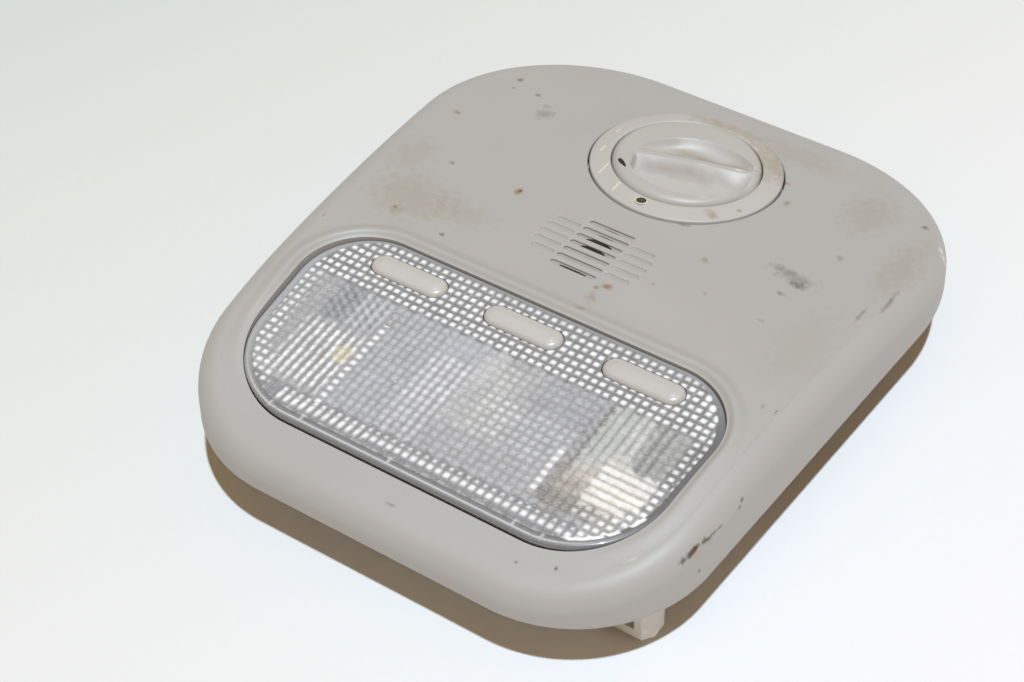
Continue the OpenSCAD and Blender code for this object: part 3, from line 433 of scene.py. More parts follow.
# %% Outlines
def outline(near, far, arc_n, side_n, end_n):
    """Points and outward normals: near arc from -90 degrees to the side's lean, side, far arc, mirrored."""
    across, along = (far[0] - far[2]) - (near[0] - near[2]), (far[1] - far[2]) - (near[1] + near[2])
    lean = math.asin((near[2] - far[2]) / math.hypot(across, along)) - math.atan2(across, along)
    near_c = np.array([near[0] - near[2], near[1] + near[2]])
    far_c = np.array([far[0] - far[2], far[1] - far[2]])

    def arc(centre, r, a0, a1):
        a = np.linspace(a0, a1, arc_n + 1)
        n = np.stack([np.cos(a), np.sin(a)], -1)
        return centre + r * n, n

    p1, n1 = arc(near_c, near[2], -math.pi / 2, lean)
    p3, n3 = arc(far_c, far[2], lean, math.pi / 2)
    t = (np.arange(1, side_n + 1) / (side_n + 1))[:, None]
    p2, n2 = p1[-1] + (p3[0] - p1[-1]) * t, np.repeat(n1[-1:], side_n, 0)
    right, right_n = np.concatenate([p1, p2, p3]), np.concatenate([n1, n2, n3])
    flip = np.array([-1.0, 1.0])
    u = 1 - 2 * np.arange(1, end_n + 1) / (end_n + 1)
    top = np.stack([right[-1, 0] * u, np.full(end_n, far[1])], -1)
    bottom = np.stack([-right[0, 0] * u, np.full(end_n, near[1])], -1)
    up, down = np.tile([0.0, 1.0], (end_n, 1)), np.tile([0.0, -1.0], (end_n, 1))
    return (np.concatenate([right, top, right[::-1] * flip, bottom]),
            np.concatenate([right_n, up, right_n[::-1] * flip, down]))


# %% [markdown]
# The bezel is one section carried round its outline: the wall of the lamp
# opening, the soft raised lip, the face, the crest of 6 mm radius, the drafted
# wall down to the rim, and the inside back up again. Every row is a closed
# ring, and the last row meets the first, so the shell is closed.

# %% Bezel shell
ARC_N, SIDE_N, END_N = 40, 40, 28
EDGE, EDGE_NORMAL = outline(BEZEL_NEAR, BEZEL_FAR, ARC_N, SIDE_N, END_N)
HOLE, HOLE_NORMAL = outline(HOLE_NEAR, HOLE_FAR, ARC_N, SIDE_N, END_N)
DRAFT = math.tan(math.radians(WALL_DRAFT))


def lip_form(s):
    """Lip height from 0 to 1 across its width: half a cosine wave up, then a squared cosine down."""
    return 0.5 - 0.5 * math.cos(math.pi * s / 0.35) if s < 0.35 else math.cos(math.pi / 2
        * (s - 0.35) / 0.65) ** 2


def lip_row(s):
    """Points beside the opening, raised by the lip, which fades out towards the near side."""
    p = HOLE + s * LIP_W * HOLE_NORMAL
    share = np.clip(1.5 * (p[:, 1] - LAMP_Y + LENS_D / 2) / LENS_D, 0, 1)
    return np.column_stack([p, face_z(p[:, 1]) + lip_form(s) * LIP_H * share])


def face_rise(y, normal):
    """Slope of the face going inwards from the edge: minus the slope along y times the normal's y."""
    r = np.where(y > CROWN_Y, CROWN_DIAL_R, CROWN_LAMP_R)
    d = y - CROWN_Y
    return d / np.sqrt(r * r - d * d) * normal[:, 1]


def crest_row(share, r, settle=True):
    """Points on the crest's arc: share 0 is the wall, 1 is where the arc runs into the sloping face."""
    foot = EDGE - CREST_R * EDGE_NORMAL
    top = math.pi / 2 - (np.arctan(face_rise(foot[:, 1], EDGE_NORMAL)) if settle else 0.0)
    angle = share * top
    z = face_z(foot[:, 1]) - CREST_R + r * np.sin(angle)
    q = EDGE - (CREST_R - r * np.cos(angle) + DRAFT * (z - RIM_H))[:, None] * EDGE_NORMAL
    return np.column_stack([q, z])


def between(a, b, t, drop):
    """Points between two rows, laid on the face or below it."""
    p = a[:, :2] + (b[:, :2] - a[:, :2]) * t
    return np.column_stack([p, face_z(p[:, 1]) - drop])


def settled(a, b, t):
    """Points between two rows on the face, eased over 14 mm from the height at which the crest's arc ends."""
    p = between(a, b, t, 0.0)
    gap = b[:, 2] - face_z(b[:, 1])
    u = np.clip(np.hypot(*(p - b)[:, :2].T) / 14.0, 0, 1)
    p[:, 2] += gap * (1 - u * u * (3 - 2 * u))
    return p


def hole_row(grow, drop):
    """Points round the lamp opening, at a depth below the face."""
    p = HOLE + grow * HOLE_NORMAL
    return np.column_stack([p, face_z(p[:, 1]) - drop])


def shell_rows():
    """All rows of the section, from the opening's wall outwards and back underneath."""
    lip_end, crest_end = lip_row(1.0), crest_row(1.0, CREST_R)
    inner_end, inner_hole = crest_row(1.0, CREST_R - WALL, False), hole_row(2.0, WALL)
    rim_soft = 0.35
    rows = [hole_row(0, d) for d in (5.0, 3.0, 1.0, 0.35)]
    rows += [lip_row(s) for s in (0.0, 0.04, 0.09, 0.14, 0.19, 0.24, 0.29, 0.35, 0.43, 0.52, 0.63, 0.75,
        0.87, 1.0)]
    spread = np.linspace(0, 1, 44)[1:-1]
    rows += [settled(lip_end, crest_end, 1 - (1 - t) ** 1.35) for t in spread]
    rows += [crest_row(share, CREST_R) for share in np.linspace(1, 0, 15)]
    wall_top = rows[-1]
    for t in (0.25, 0.5, 0.75):
        p = wall_top[:, :2] + (EDGE - wall_top[:, :2]) * t
        rows.append(np.column_stack([p, wall_top[:, 2] + (RIM_H - wall_top[:, 2]) * t]))
    for a in np.radians((0, 30, 60, 90)):
        p = EDGE - rim_soft * (1 - math.cos(a)) * EDGE_NORMAL
        rows.append(np.column_stack([p, np.full(len(p), RIM_H + rim_soft * (1 - math.sin(a)))]))
    inner_foot = EDGE - WALL * EDGE_NORMAL
    rows.append(np.column_stack([inner_foot, np.full(len(inner_foot), RIM_H)]))
    rows += [crest_row(share, CREST_R - WALL, False) for share in np.linspace(0, 1, 7)]
    rows += [between(inner_end, inner_hole, t, WALL) for t in np.linspace(0, 1, 20)[1:-1]]
    rows += [inner_hole, hole_row(2.0, 5.0)]
    return np.stack(rows)


ROWS = shell_rows()
SHELL_QUADS = loop_quads(ROWS.shape[0], ROWS.shape[1], True)
print("bezel grid", ROWS.shape[:2])

# %% [markdown]
# The dial's hole and the grille's slots are cut into that shell with solids.
# A cutter is a stack of outlines that widens near the face, so each cut gets
# a small rounded edge, as a moulding has, and catches a thin line of light.

# %% Cutters
def stack_points(curve, normal, rows):
    """Rows of a curve, each grown along its normal and set to a height, as a closed tube with caps."""
    rings = np.stack([np.column_stack([curve + grow * normal, height]) for grow, height in rows])
    centre = curve.mean(axis=0)
    low = np.column_stack([np.tile(centre, (len(curve), 1)), rings[0][:, 2]])
    high = np.column_stack([np.tile(centre, (len(curve), 1)), rings[-1][:, 2]])
    return np.concatenate([low[None], rings, high[None]])


def obround(length, width, steps=14):
    """Outline and normals of a bar with round ends along X."""
    a = np.linspace(-math.pi / 2, math.pi / 2, steps)
    n = np.stack([np.cos(a), np.sin(a)], -1)
    half = (length - width) / 2
    right = n * width / 2 + [half, 0]
    return np.concatenate([right, -right]), np.concatenate([n, -n])


def bare_mesh(name, points):
    """A closed mesh in metres from stacked rings, with its doubles merged and its faces turned outwards."""
    quads = loop_quads(points.shape[0], points.shape[1], False)
    mesh = bpy.data.meshes.new(name)
    mesh.from_pydata((points.reshape(-1, 3) * MM).tolist(), [], quads.tolist())
    tidy = bmesh.new()
    tidy.from_mesh(mesh)
    bmesh.ops.remove_doubles(tidy, verts=tidy.verts, dist=0.001 * MM)
    bmesh.ops.recalc_face_normals(tidy, faces=tidy.faces)
    tidy.to_mesh(mesh)
    tidy.free()
    return mesh


def slot_cutter(x, y, length, width, depth, soft):
    """A slot at (x, y), straight walls and a quarter round at the face; a shallow one has a round floor."""
    curve, normal = obround(length, width)
    curve = curve + [x, y]
    top = face_z(curve[:, 1])
    rows = [(0.0 if depth > 1 else -0.45 * width, top - depth),
        (0.0, top - (depth if depth > 1 else 0.4 * depth))]
    for a in np.radians((0, 30, 60, 85)):
        rows.append((soft * (1 - math.cos(a)), top - soft * (1 - math.sin(a))))
    rows.append((soft * 1.25, top + 2.0))
    return stack_points(curve, normal, rows)


def dial_cutter():
    """The dial's hole: a cylinder along the dial's axis, opened by a quarter round at the face."""
    a = np.linspace(0, 2 * math.pi, 145)[:-1]
    normal = np.stack([np.cos(a), np.sin(a)], -1)
    curve = normal * (RING_R + 0.4)
    flat = in_dial(np.column_stack([curve, np.zeros(len(a))]))
    top = (face_z(flat[:, 1]) - flat[:, 2]) / math.cos(math.radians(DIAL_TILT))
    rows = [(0.0, np.full(len(a), -12.0)), (0.0, top - 0.5)]
    rows += [(0.5 * (1 - math.cos(t)), top - 0.5 * (1 - math.sin(t))) for t in np.radians((20, 45, 70, 85))]
    rows.append((0.6, top + 3.0))
    return in_dial(stack_points(curve, normal, rows))


PLATE_R, PLATE_HALF, PLATE_DEPTH, PLATE_GAP, SOCKET_R = 11.8, 7.0, 0.4, 0.12, 9.6
GRILLE = np.array([GRILLE_X, GRILLE_Y])


def plate_rings(shrink, drop):
    """Rings from the middle out to a circle with two straight sides, each at a depth below the face."""
    a = np.linspace(0, 2 * math.pi, 65)[:-1]
    limit = np.array([PLATE_HALF, PLATE_R]) - shrink
    curve = np.clip(np.stack([np.cos(a), np.sin(a)], -1) * (PLATE_R - shrink), -limit, limit)
    return [np.column_stack([p, face_z(p[:, 1]) - drop])
        for p in (curve * t + GRILLE for t in (0.0, 0.25, 0.5, 0.75, 1.0))]


def recess_cutter():
    """A recess behind the grille, up to 0.4 mm below the face, that the microphone's plate fills."""
    top = plate_rings(0.0, PLATE_DEPTH)
    floor_rings = [np.column_stack([ring[:, :2], np.full(64, 20.0)]) for ring in (top[0], top[-1])]
    return np.stack(floor_rings + top[::-1])


GRILLE_ROWS = np.arange(SLOT_N) - (SLOT_N - 1) / 2
SIDE_X = SLOT_L / 2 + 1.2
cutters = [dial_cutter()]
cutters += [slot_cutter(GRILLE_X, GRILLE_Y + i * SLOT_PITCH, SLOT_L, SLOT_W - 0.15, 6.0, 0.15)
    for i in GRILLE_ROWS]
for i in GRILLE_ROWS[1:-1]:
    reach = math.sqrt(GRILLE_R ** 2 - (i * SLOT_PITCH) ** 2)
    for side in (-1, 1):
        cutters.append(slot_cutter(GRILLE_X + side * (SIDE_X + reach) / 2, GRILLE_Y + i * SLOT_PITCH,
                                   reach - SIDE_X, SLOT_W - 0.5, 0.7, 0.32))
print("cutters", len(cutters))


# %% Cut bezel
def cut_with(made, cutter_points, sharp):
    """Takes solids out of a piece: joined into one mesh, they are subtracted exactly."""
    joined = bmesh.new()
    for k, points in enumerate(cutter_points):
        joined.from_mesh(bare_mesh(f"cutter_{k}", points))
    tool_mesh = bpy.data.meshes.new("cutters")
    joined.to_mesh(tool_mesh)
    joined.free()
    tool = bpy.data.objects.new("cutters", tool_mesh)
    bpy.context.scene.collection.objects.link(tool)
    cut = made.modifiers.new("cut", "BOOLEAN")
    cut.object, cut.operation, cut.solver = tool, "DIFFERENCE", "EXACT"
    result = bpy.data.meshes.new_from_object(made.evaluated_get(bpy.context.evaluated_depsgraph_get()))
    made.modifiers.clear()
    made.data = result
    bpy.data.objects.remove(tool)
    finish_mesh(result, sharp)


def bezel():
    """The closed shell, with the dial's hole, the recess and the grille cut out of it."""
    made = make_piece("bezel_shell", ROWS.reshape(-1, 3), SHELL_QUADS, BEZEL_FINISH, "light",
        "bezel_plastic", ["bezel"])
    cut_with(made, cutters, 32.0)
    cut_with(made, [recess_cutter()], 32.0)
    return made


BEZEL = bezel()
print("bezel faces after the cuts", len(BEZEL.data.polygons))


# %% [markdown]
# Behind the face the same moulding carries bosses for the screws, a socket for
# the microphone and two ribs for the roof clips. Each is a short tube or block
# that runs a little way into the wall.

# %% Bosses, socket and ribs
def pipe(centre, outer, inner, low, high, frame_of=None, sides=40):
    """A tube as four closed rows; a high end below its low end is a depth under the face instead."""
    a = np.linspace(0, 2 * math.pi, sides + 1)[:-1]
    way = np.stack([np.cos(a), np.sin(a)], -1)
    rings = [np.column_stack([way * r + centre, np.full(sides, float(z))])
        for r, z in ((outer, low), (outer, high), (inner, high), (inner, low))]
    if high < low and frame_of is None:
        for ring in rings[1:3]:
            ring[:, 2] = face_z(ring[:, 1]) - high
    points = np.stack(rings)
    points = frame_of(points) if frame_of else points
    return points.reshape(-1, 3), loop_quads(4, sides, True)[:, ::-1]


def solid_block(low, high):
    """A box between two corners as rings of four points with caps."""
    (x0, y0, z0), (x1, y1, z1) = low, high
    ring_points = np.array([[x0, y0], [x1, y0], [x1, y1], [x0, y1]])
    points = stack_points(ring_points, ring_points * 0, [(0.0, np.full(4, z0)), (0.0, np.full(4, z1))])
    return points.reshape(-1, 3), loop_quads(4, 4, False)


def join(*parts):
    """Several (points, quads) pairs as one."""
    shift, points, quads = 0, [], []
    for p, q in parts:
        points.append(p)
        quads.append(q + shift)
        shift += len(p)
    return np.concatenate(points), np.concatenate(quads)


def behind_face():
    """Four lamp bosses, three dial bosses, the socket and two ribs."""
    turn, reach = math.radians(-75), LAMP_CORNER_R - WALL - 4.5
    near = (LAMP_END_W / 2 - LAMP_CORNER_R + reach * math.cos(turn),
        -BEZEL_L / 2 + LAMP_CORNER_R + reach * math.sin(turn))
    far = (LENS_FAR_W / 2 - 9.2, LAMP_Y + LENS_D / 2 + 5.6)
    height = [float(face_z(np.array(p[1]))) - 1.2 for p in (near, far)]
    parts = [pipe((s * p[0], p[1]), 3.0, 1.25, 17.0, h) for p, h in ((near, height[0]), (far, height[1]))
        for s in (-1, 1)]
    dial = [np.array([math.cos(t), math.sin(t)]) * 28.5 for t in np.radians((30, 150, 270))]
    parts += [pipe(p, 3.0, 1.25, -5.2, -1.8, in_dial, 32) for p in dial]
    parts.append(pipe((GRILLE_X, GRILLE_Y), SOCKET_R + 0.9, SOCKET_R, 20.0, 1.3, None, 64))
    rib_z = float(face_z(np.array(22.0))) - 1.5
    parts += [solid_block((s * 62.0 - 0.9, 15.0, 11.0), (s * 62.0 + 0.9, 29.0, rib_z)) for s in (-1, 1)]
    return join(*parts)


# %% [markdown]
# The lens, the buttons and the knob are flat pieces with a worked top. Each is
# a grid over X and Y that is trimmed at a signed distance: points just outside
# the outline are pulled onto it along the distance's own direction. The open
# edge is then carried down as rows, and a flat fill closes the bottom.

# %% Trimmed slab
def slab(xs, ys, distance, top, rows):
    """Quads inside distance < 0, their edge carried down through rows (grow, height), open below."""
    gx, gy = np.meshgrid(xs, ys, indexing="ij")
    d, nx, ny = distance(gx, gy)
    near = d > -0.35 * max(np.diff(xs).max(), np.diff(ys).max())
    px, py = np.where(near, gx - d * nx, gx), np.where(near, gy - d * ny, gy)
    index = np.arange(gx.size).reshape(gx.shape)
    quads = np.stack([index[:-1, :-1], index[1:, :-1], index[1:, 1:], index[:-1, 1:]], -1).reshape(-1, 4)
    quads = quads[(~near).ravel()[quads].any(axis=1)]
    used, quads = np.unique(quads, return_inverse=True)
    quads = quads.reshape(-1, 4)
    px, py, nx, ny = (v.ravel()[used] for v in (px, py, nx, ny))
    edges = np.concatenate([quads[:, [0, 1]], quads[:, [1, 2]], quads[:, [2, 3]], quads[:, [3, 0]]])
    code = edges.min(axis=1) * len(used) + edges.max(axis=1)
    first, count = np.unique(code, return_index=True, return_counts=True)[1:]
    open_edges = edges[first[count == 1]]
    rim = np.unique(open_edges)
    a, b = np.searchsorted(rim, open_edges[:, 0]), np.searchsorted(rim, open_edges[:, 1])
    total, m = len(used), len(rim)
    points, faces = [np.column_stack([px, py, top(px, py)])], [quads]
    above_a, above_b = open_edges[:, 0], open_edges[:, 1]
    for k, (grow, height) in enumerate(rows):
        g = grow(px[rim], py[rim]) if callable(grow) else grow
        h = height(px[rim], py[rim]) if callable(height) else np.full(m, height)
        points.append(np.column_stack([px[rim] + g * nx[rim], py[rim] + g * ny[rim], h]))
        base = total + k * m
        faces.append(np.stack([above_b, above_a, base + a, base + b], -1))
        above_a, above_b = base + a, base + b
    return np.concatenate(points), np.concatenate(faces)


def tube(curve, normal, rows):
    """A closed ring solid: the curve carried through rows (grow, height) that meet at the end."""
    rings = np.stack([np.column_stack([curve + grow * normal, np.full(len(curve), float(height))])
        for grow, height in rows])
    return rings.reshape(-1, 3), loop_quads(len(rows), len(curve), True)


# %% Signed distances
def bar_distance(x, y, length, width):
    """Distance to a bar with round ends: the distance to its middle line less half its width."""
    half = (length - width) / 2
    dx = x - np.clip(x, -half, half)
    r = np.hypot(dx, y) + 1e-9
    return r - width / 2, dx / r, y / r


LENS_EDGE, LENS_EDGE_NORMAL = outline(LENS_NEAR, LENS_FAR, 90, 60, 160)


def lens_depth(x, y):
    """Signed distance to the lens's outline: nearest outline point, then the offset along its normal."""
    shape = np.shape(x)
    p = np.column_stack([np.ravel(x), np.ravel(y)]).astype(np.float32)
    nearest = np.concatenate([
        np.argmin(((part[:, None, :] - LENS_EDGE.astype(np.float32)[None]) ** 2).sum(-1), axis=1)
        for part in np.array_split(p, 1 + len(p) // 4000)
    ])
    n = LENS_EDGE_NORMAL[nearest]
    d = ((p - LENS_EDGE[nearest]) * n).sum(-1)
    return d.reshape(shape), n[:, 0].reshape(shape), n[:, 1].reshape(shape)


LENS_SOFT = 0.5


def lens_distance(x, y):
    """The lens's top: its outline less the rounded edge, with a slot left open for each button."""
    d, nx, ny = lens_depth(x, y)
    d = d + LENS_SOFT
    for i in (-1, 0, 1):
        e, ex, ey = bar_distance(x - i * BUTTON_PITCH, y - BUTTON_Y, BUTTON_L + 0.3, BUTTON_W + 0.3)
        inner = -e > d
        d, nx, ny = np.where(inner, -e, d), np.where(inner, -ex, nx), np.where(inner, -ey, ny)
    return d, nx, ny


# %% [markdown]
# The clear lens gets its look from the prisms moulded into its underside: a
# lattice of small cushions, each of which throws a bright spot to the eye or
# shows a piece of the reflector below. Real refraction at this scale would
# take very long to render, so every cushion's light is worked out by formula
# and painted into the colour stored on the lens's points: painted highlights,
# painted reflections of the wells and painted shade between the cushions. It
# is zoned as the wells beneath it are.

# %% Lens lattice
CELL = 2.22
LATTICE_X = (-52.6, 2.208, 0.4, 2.27)
LATTICE_Y = (-22.35, 2.245)


def ramp(t, a, b):
    """Smooth step from 0 at a to 1 at b."""
    u = np.clip((t - a) / (b - a), 0, 1)
    return u * u * (3 - 2 * u)


def window(x, y, x0, x1, y0, y1, soft):
    """1 inside a box, falling smoothly to 0 over a margin."""
    return (ramp(x, x0 - soft, x0 + soft) * ramp(-x, -x1 - soft, -x1 + soft)
            * ramp(y, y0 - soft, y0 + soft) * ramp(-y, -y1 - soft, -y1 + soft))


def lattice(x, y):
    """Cell coordinates: whole numbers at the middle of each cushion."""
    start, left_step, turn, right_step = LATTICE_X
    u = np.where(x < turn, (x - start) / left_step, (turn - start) / left_step + (x - turn) / right_step)
    return u, (y - LATTICE_Y[0]) / LATTICE_Y[1]


def cushion_height(x, y):
    """A cushion's crown: two cosines multiplied, sunk by 0.16 mm at the cell's edges, flat on the rim."""
    u, v = lattice(x, y)
    crown = np.abs(np.cos(math.pi * (u - np.round(u))) * np.cos(math.pi * (v - np.round(v))))
    return -0.16 * (1 - crown) * ramp(-lens_depth(x, y)[0], 0.7, 1.2)


# Zones of the lens's painted light: box (x0, x1, y0, y1, soft edge), then the shares of spots, upright bars,
# level bars, dark lines along y and dark lines along x, and the colour; spots and bars are painted
# highlights, the dark lines painted shade, the colour a painted reflection of the well seen through the lens
ZONES = [
    ((-58, 58, -30, 13, 1.0), 0.15, 0.00, 0.00, 0.20, 0.15, "#b6b7bb"),
    ((-58, -51, -20, 13, 0.9), 0.70, 0.00, 0.00, 0.15, 0.15, "#adaeb1"),
    ((-51, -45, -26, 13, 1.1), 0.10, 0.00, 0.00, 0.10, 0.10, "#b0b1b4"),
    ((-45, -38, 0.5, 12.6, 1.2), 0.05, 0.10, 0.00, 0.15, 0.10, "#9ca0a7"),
    ((-38, -29.6, 0.5, 12.6, 1.2), 0.10, 0.35, 0.00, 0.20, 0.10, "#adb0b5"),
    ((-46, -29.8, -19.5, -0.5, 1.2), 0.20, 0.88, 0.00, 0.15, 0.10, "#a6a8ac"),
    ((-34.4, -29.8, -9.2, -4.4, 0.8), 0.30, 0.55, 0.00, 0.20, 0.20, "#cfc7ab"),
    ((-29.8, -26.6, -21.5, 6, 0.5), 0.00, 0.00, 0.00, 0.10, 0.10, "#aaacb0"),
    ((-26.6, -13, -20.5, 12.6, 1.2), 0.25, 0.20, 0.00, 0.15, 0.12, "#b0b3b8"),
    ((-13, -2, 5, 12.6, 1.1), 0.15, 0.10, 0.00, 0.12, 0.10, "#bdc0c5"),
    ((-13, -2, -11, 5, 1.1), 0.55, 0.50, 0.00, 0.15, 0.15, "#b8babf"),
    ((-13, -2, -20.5, -11, 1.1), 0.45, 0.35, 0.00, 0.15, 0.10, "#b2b4b9"),
    ((-2, 3, 1, 12.6, 1.1), 0.20, 0.10, 0.00, 0.10, 0.10, "#c8c8ca"),
    ((-2, 3, -11, 1, 1.1), 0.15, 0.00, 0.00, 0.10, 0.10, "#c0c1c3"),
    ((-2, 29, -20.5, -11, 1.2), 0.20, 0.10, 0.00, 0.12, 0.12, "#b3b4b8"),
    ((3, 8, -11, 10, 1.1), 0.40, 0.10, 0.00, 0.12, 0.12, "#c0c1c2"),
    ((8, 14, 1, 12.6, 1.1), 0.20, 0.10, 0.00, 0.12, 0.12, "#b8b9bc"),
    ((8, 14, -11, 1, 1.1), 0.50, 0.10, 0.00, 0.12, 0.12, "#bcbdbf"),
    ((14, 29, 1, 12.6, 1.2), 0.15, 0.05, 0.00, 0.12, 0.12, "#afb1b7"),
    ((14, 29, -11, 1, 1.2), 0.35, 0.10, 0.00, 0.12, 0.12, "#b5b7bb"),
    ((29, 32, -7, 12.6, 0.5), 0.00, 0.15, 0.00, 0.30, 0.10, "#a4a5a8"),
    ((29, 32, -15, -7, 0.5), 0.00, 0.00, 0.00, 0.20, 0.10, "#a7a5a2"),
    ((29, 32, -19.5, -15, 0.5), 0.00, 0.00, 0.00, 0.20, 0.10, "#979695"),
    ((32, 38, -3, 12.6, 0.6), 0.05, 0.15, 0.00, 0.40, 0.08, "#c4c8c5"),
    ((32, 38, -7, -3, 0.6), 0.10, 0.10, 0.00, 0.30, 0.10, "#cccdc9"),
    ((32, 38, -11, -7, 0.6), 0.10, 0.10, 0.00, 0.30, 0.20, "#cbc5bd"),
    ((32, 38, -15, -11, 0.6), 0.05, 0.10, 0.00, 0.30, 0.20, "#b8b1aa"),
    ((32, 38, -19.5, -15, 0.6), 0.05, 0.10, 0.00, 0.20, 0.20, "#9d9b98"),
    ((32, 38, -22, -19.5, 0.6), 0.10, 0.00, 0.00, 0.15, 0.10, "#a8a8a9"),
    ((38, 43, 1, 12.6, 0.6), 0.10, 0.35, 0.00, 0.30, 0.10, "#c2c4c2"),
    ((38, 43.5, -3, 1, 0.6), 0.10, 0.20, 0.20, 0.20, 0.10, "#cbcbc6"),
    ((43, 48, -2, 12.6, 0.6), 0.05, 0.25, 0.00, 0.15, 0.05, "#9a9c9d"),
    ((48, 52, -2, 12.6, 0.6), 0.15, 0.10, 0.00, 0.10, 0.10, "#a9aaab"),
    ((51.5, 58, -3, 12.6, 0.8), 0.30, 0.00, 0.00, 0.20, 0.20, "#8e8f91"),
    ((51.5, 58, -12, -3, 0.8), 0.80, 0.00, 0.00, 0.15, 0.15, "#a5a6a7"),
    ((38, 51, -7.4, -2.6, 0.8), 0.10, 0.10, 0.65, 0.15, 0.12, "#d3d1c7"),
    ((38, 51, -11.8, -7.4, 0.8), 0.10, 0.10, 0.75, 0.15, 0.12, "#dedaca"),
    ((38, 49, -15.2, -11.8, 0.8), 0.20, 0.10, 0.60, 0.15, 0.15, "#d0cdc1"),
    ((38, 43.5, -19, -15.2, 0.6), 0.60, 0.10, 0.00, 0.30, 0.40, "#a8a7a4"),
    ((43.5, 49, -19, -15.2, 0.6), 0.60, 0.10, 0.00, 0.20, 0.20, "#b6b5b0"),
    ((-50, 43, -26.6, -20.9, 0.5), 0.00, 0.00, 0.00, 0.15, 0.05, "#9c9ea2"),
    ((-58, 58, 12.6, 30, 0.8), 1.00, 0.00, 0.00, 0.30, 0.30, "#9ea0a3"),
    ((-58, 58, 26.4, 30, 0.6), 0.60, 0.00, 0.00, 0.25, 0.25, "#9c9ea1"),
]
# Painted glints: bright spots beside two buttons' ends and at the far right corner.
SPARKS = [(-23.8, 18.1), (9.4, 18.7), (48.2, 24.3), (50.5, 22.1), (52.8, 19.9)]
# The next line gives the x places of five small painted glints on the near rim.
NEAR_RIM_GLINTS = (-37.5, -28.5, -4.0, 29.4, 36.7)
# Greys of the rim band for the far, left, near and right sides: painted reflection and shade, chosen by side.
RIM_TONES = ("#a9abae", "#b6b7ba", "#8f9195", "#77797c")


def bump_at(t, half, power):
    """A flat-topped bump of height 1: exp(-|t / half|^power)."""
    return np.exp(-np.abs(t / half) ** power)


def near_row(x, y, across):
    """The near edge's light, two spots in each cell: long ones on the left and round ones on the right."""
    left, right = window(x, y, -37.8, -13, -27, -20, 0.4), window(x, y, -13, 44, -27, -20, 0.4)
    lean = across - 0.12 * (y + 24.2)
    long_pair = np.maximum(bump_at(lean, 0.6, 3) * bump_at(y + 24.2, 1.25, 3),
        0.85 * bump_at(across - 0.25, 0.5, 3) * bump_at(y + 22.3, 0.65, 3))
    round_pair = np.maximum(bump_at(across, 0.75, 3) * bump_at(y + 24.0, 0.8, 3),
        0.7 * bump_at(across - 0.1, 0.45, 3) * bump_at(y + 22.1, 0.5, 3))
    return left * long_pair + right * round_pair


def rim_light(shade, x, y, depth, nx, ny, light):
    """The rim band, all painted light: one grey per side by the outward normal as painted reflection and
    shade, a dark line of painted shade, and a bright line, arcs and small glints of painted highlight.
    """
    weights = [np.clip(w, 0, 1) ** 2 for w in (ny, -nx, -ny, nx)]
    tone = sum(w[..., None] * np.array(tint(c)[:3]) for w, c in zip(weights, RIM_TONES))
    wide = 1.85 - 1.15 * weights[0]
    shade = shade + (tone - shade) * ramp(wide - depth, -0.15, 0.15)[..., None]
    rim_shade_line = np.exp(-((depth - wide + 0.1) / 0.2) ** 2) * (0.35 + 0.3 * weights[2]) * (1 - 0.7 * weights[0])
    shade = shade + (np.array(tint("#606265")[:3]) - shade) * rim_shade_line[..., None]
    line = np.exp(-((depth - 0.6) / 0.18) ** 2) * 0.55 * weights[2]
    arcs = np.maximum.reduce([window(x, y, 40, 58, a, b, 0.3)
        for a, b in ((-25.2, -20.5), (-19.9, -17.7), (-15.3, -11.8))])
    arcs = arcs * bump_at(depth - 1.75, 0.42, 4)
    rim_glint = sum(bump_at(x - n, 0.35, 2) for n in NEAR_RIM_GLINTS) * window(x, y, -58, 58, -28.2, -26.4, 0.3) * 0.4
    return shade + (light - shade) * np.clip(np.maximum.reduce([line, arcs, rim_glint]), 0, 1)[..., None]


